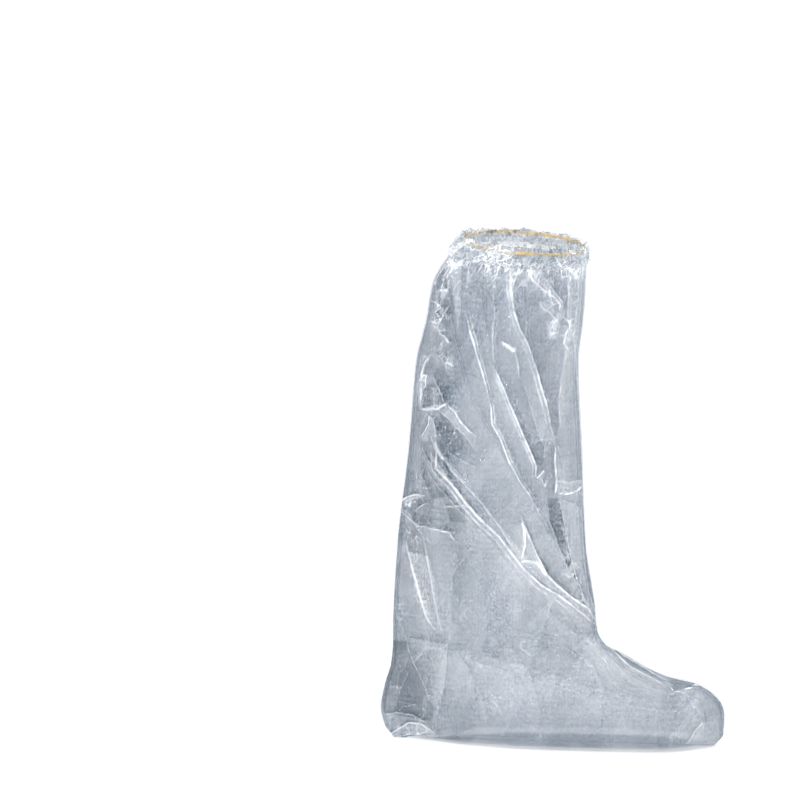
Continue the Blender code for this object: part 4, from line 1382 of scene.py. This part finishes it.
class SHOECOVER_OT_weld(bpy.types.Operator):
    """Make the welded edge"""

    bl_idname = "shoecover.weld"
    bl_label = "Welded Edge"

    def execute(self, context):
        points, across = weld_surface()
        weld = make_surface("weld", points, {"across": across}, weld_finish(), closed_rows=True)
        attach(weld, "root")
        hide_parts("weld_seam")
        return {"FINISHED"}


class SHOECOVER_OT_hem(bpy.types.Operator):
    """Make the gathered hem"""

    bl_idname = "shoecover.hem"
    bl_label = "Gathered Hem"

    def execute(self, context):
        points, values = hem_surface()
        material = film_finish("gathered_film", tuple(colours().hem), HEM_OPACITY, HEM_ROUGHNESS)
        hem = make_surface("hem", points, values, material, flip=True, closed_columns=True)
        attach(hem, "root")
        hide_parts("top_hem")
        return {"FINISHED"}


class SHOECOVER_OT_elastic(bpy.types.Operator):
    """Make the elastic band"""

    bl_idname = "shoecover.elastic"
    bl_label = "Elastic Band"

    def execute(self, context):
        points = elastic_surface()
        elastic = make_surface("elastic", points, {}, latex_finish(), closed_columns=True, closed_rows=True)
        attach(elastic, "root")
        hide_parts("elastic_band")
        return {"FINISHED"}


class SHOECOVER_OT_cloth(bpy.types.Operator):
    """Say how the film was cut and gathered"""

    bl_idname = "shoecover.cloth"
    bl_label = "Cut Sizes"

    def execute(self, context):
        return {"FINISHED"}


def look_rotation(direction):
    """Euler angles that turn -Z to a direction, with +Y as near upright as can be."""
    x, y, z = direction / np.linalg.norm(direction)
    return (math.acos(-z), 0.0, math.atan2(y, x) - math.pi / 2)


def area_light(light):
    """A soft oblong light at its place, turned to LIGHT_AIM."""
    data = bpy.data.lights.new(light.name, "AREA")
    data.shape = "RECTANGLE"
    data.size, data.size_y = light.size
    data.energy = light.power
    lamp = bpy.data.objects.new(light.name, data)
    lamp.location = light.place
    lamp.rotation_euler = look_rotation(np.array(LIGHT_AIM) - np.array(light.place))
    bpy.context.scene.collection.objects.link(lamp)


def floor_surface():
    """Points of the floor: a flat disc just below the sole, whose rings lie closer near its middle."""
    turn = np.linspace(0.0, 1.0, FLOOR_COLUMNS)[None, :] * 2 * math.pi
    radius = (np.linspace(0.0, 1.0, FLOOR_RINGS)[:, None] ** 2) * FLOOR_RADIUS
    height = -sizes().height - FLOOR_CLEARANCE
    return np.stack(np.broadcast_arrays(radius * np.cos(turn), radius * np.sin(turn), height), axis=-1)


class SHOECOVER_OT_stage(bpy.types.Operator):
    """Make the floor, the lights and the camera"""

    bl_idname = "shoecover.stage"
    bl_label = "Stage"

    def execute(self, context):
        make_surface("floor", floor_surface(), {}, floor_finish())

        context.scene.world = studio_light()
        for light in LIGHTS:
            area_light(light)

        place, _, _, back = camera_axes()
        data = bpy.data.cameras.new("camera")
        data.sensor_width = SENSOR_WIDTH
        data.lens = SENSOR_WIDTH * CAMERA_DISTANCE * PIXELS_PER_METRE / PHOTO
        data.clip_end = CAMERA_REACH
        camera = bpy.data.objects.new("camera", data)
        camera.location = place
        camera.rotation_euler = look_rotation(-back)
        context.scene.collection.objects.link(camera)
        context.scene.camera = camera
        context.scene.view_settings.view_transform = "Standard"
        return {"FINISHED"}


class SHOECOVER_PT_panel(bpy.types.Panel):
    bl_label = "Shoe Cover"
    bl_idname = "SHOECOVER_PT_panel"
    bl_space_type = "VIEW_3D"
    bl_region_type = "UI"
    bl_category = "Shoe Cover"

    def draw(self, context):
        layout = self.layout
        for group in (context.scene.shoe_cover_sizes, context.scene.shoe_cover_colours):
            box = layout.box()
            for name in group.__annotations__:
                box.prop(group, name)
        for operator in OPERATORS:
            layout.operator(operator.bl_idname)


OPERATORS = (
    SHOECOVER_OT_stage,
    SHOECOVER_OT_film,
    SHOECOVER_OT_weld,
    SHOECOVER_OT_hem,
    SHOECOVER_OT_elastic,
    SHOECOVER_OT_cloth,
)
CLASSES = (ShoeCoverSizes, ShoeCoverColours, *OPERATORS, SHOECOVER_PT_panel)


def register():
    for cls in CLASSES:
        bpy.utils.register_class(cls)
    bpy.types.Scene.shoe_cover_sizes = bpy.props.PointerProperty(type=ShoeCoverSizes)
    bpy.types.Scene.shoe_cover_colours = bpy.props.PointerProperty(type=ShoeCoverColours)


def unregister():
    del bpy.types.Scene.shoe_cover_colours
    del bpy.types.Scene.shoe_cover_sizes
    for cls in reversed(CLASSES):
        bpy.utils.unregister_class(cls)


def main():
    register()
    bpy.ops.shoecover.stage()
    bpy.ops.shoecover.film()
    bpy.ops.shoecover.weld()
    bpy.ops.shoecover.hem()
    bpy.ops.shoecover.elastic()
    bpy.ops.shoecover.cloth()


if __name__ == "__main__":
    main()
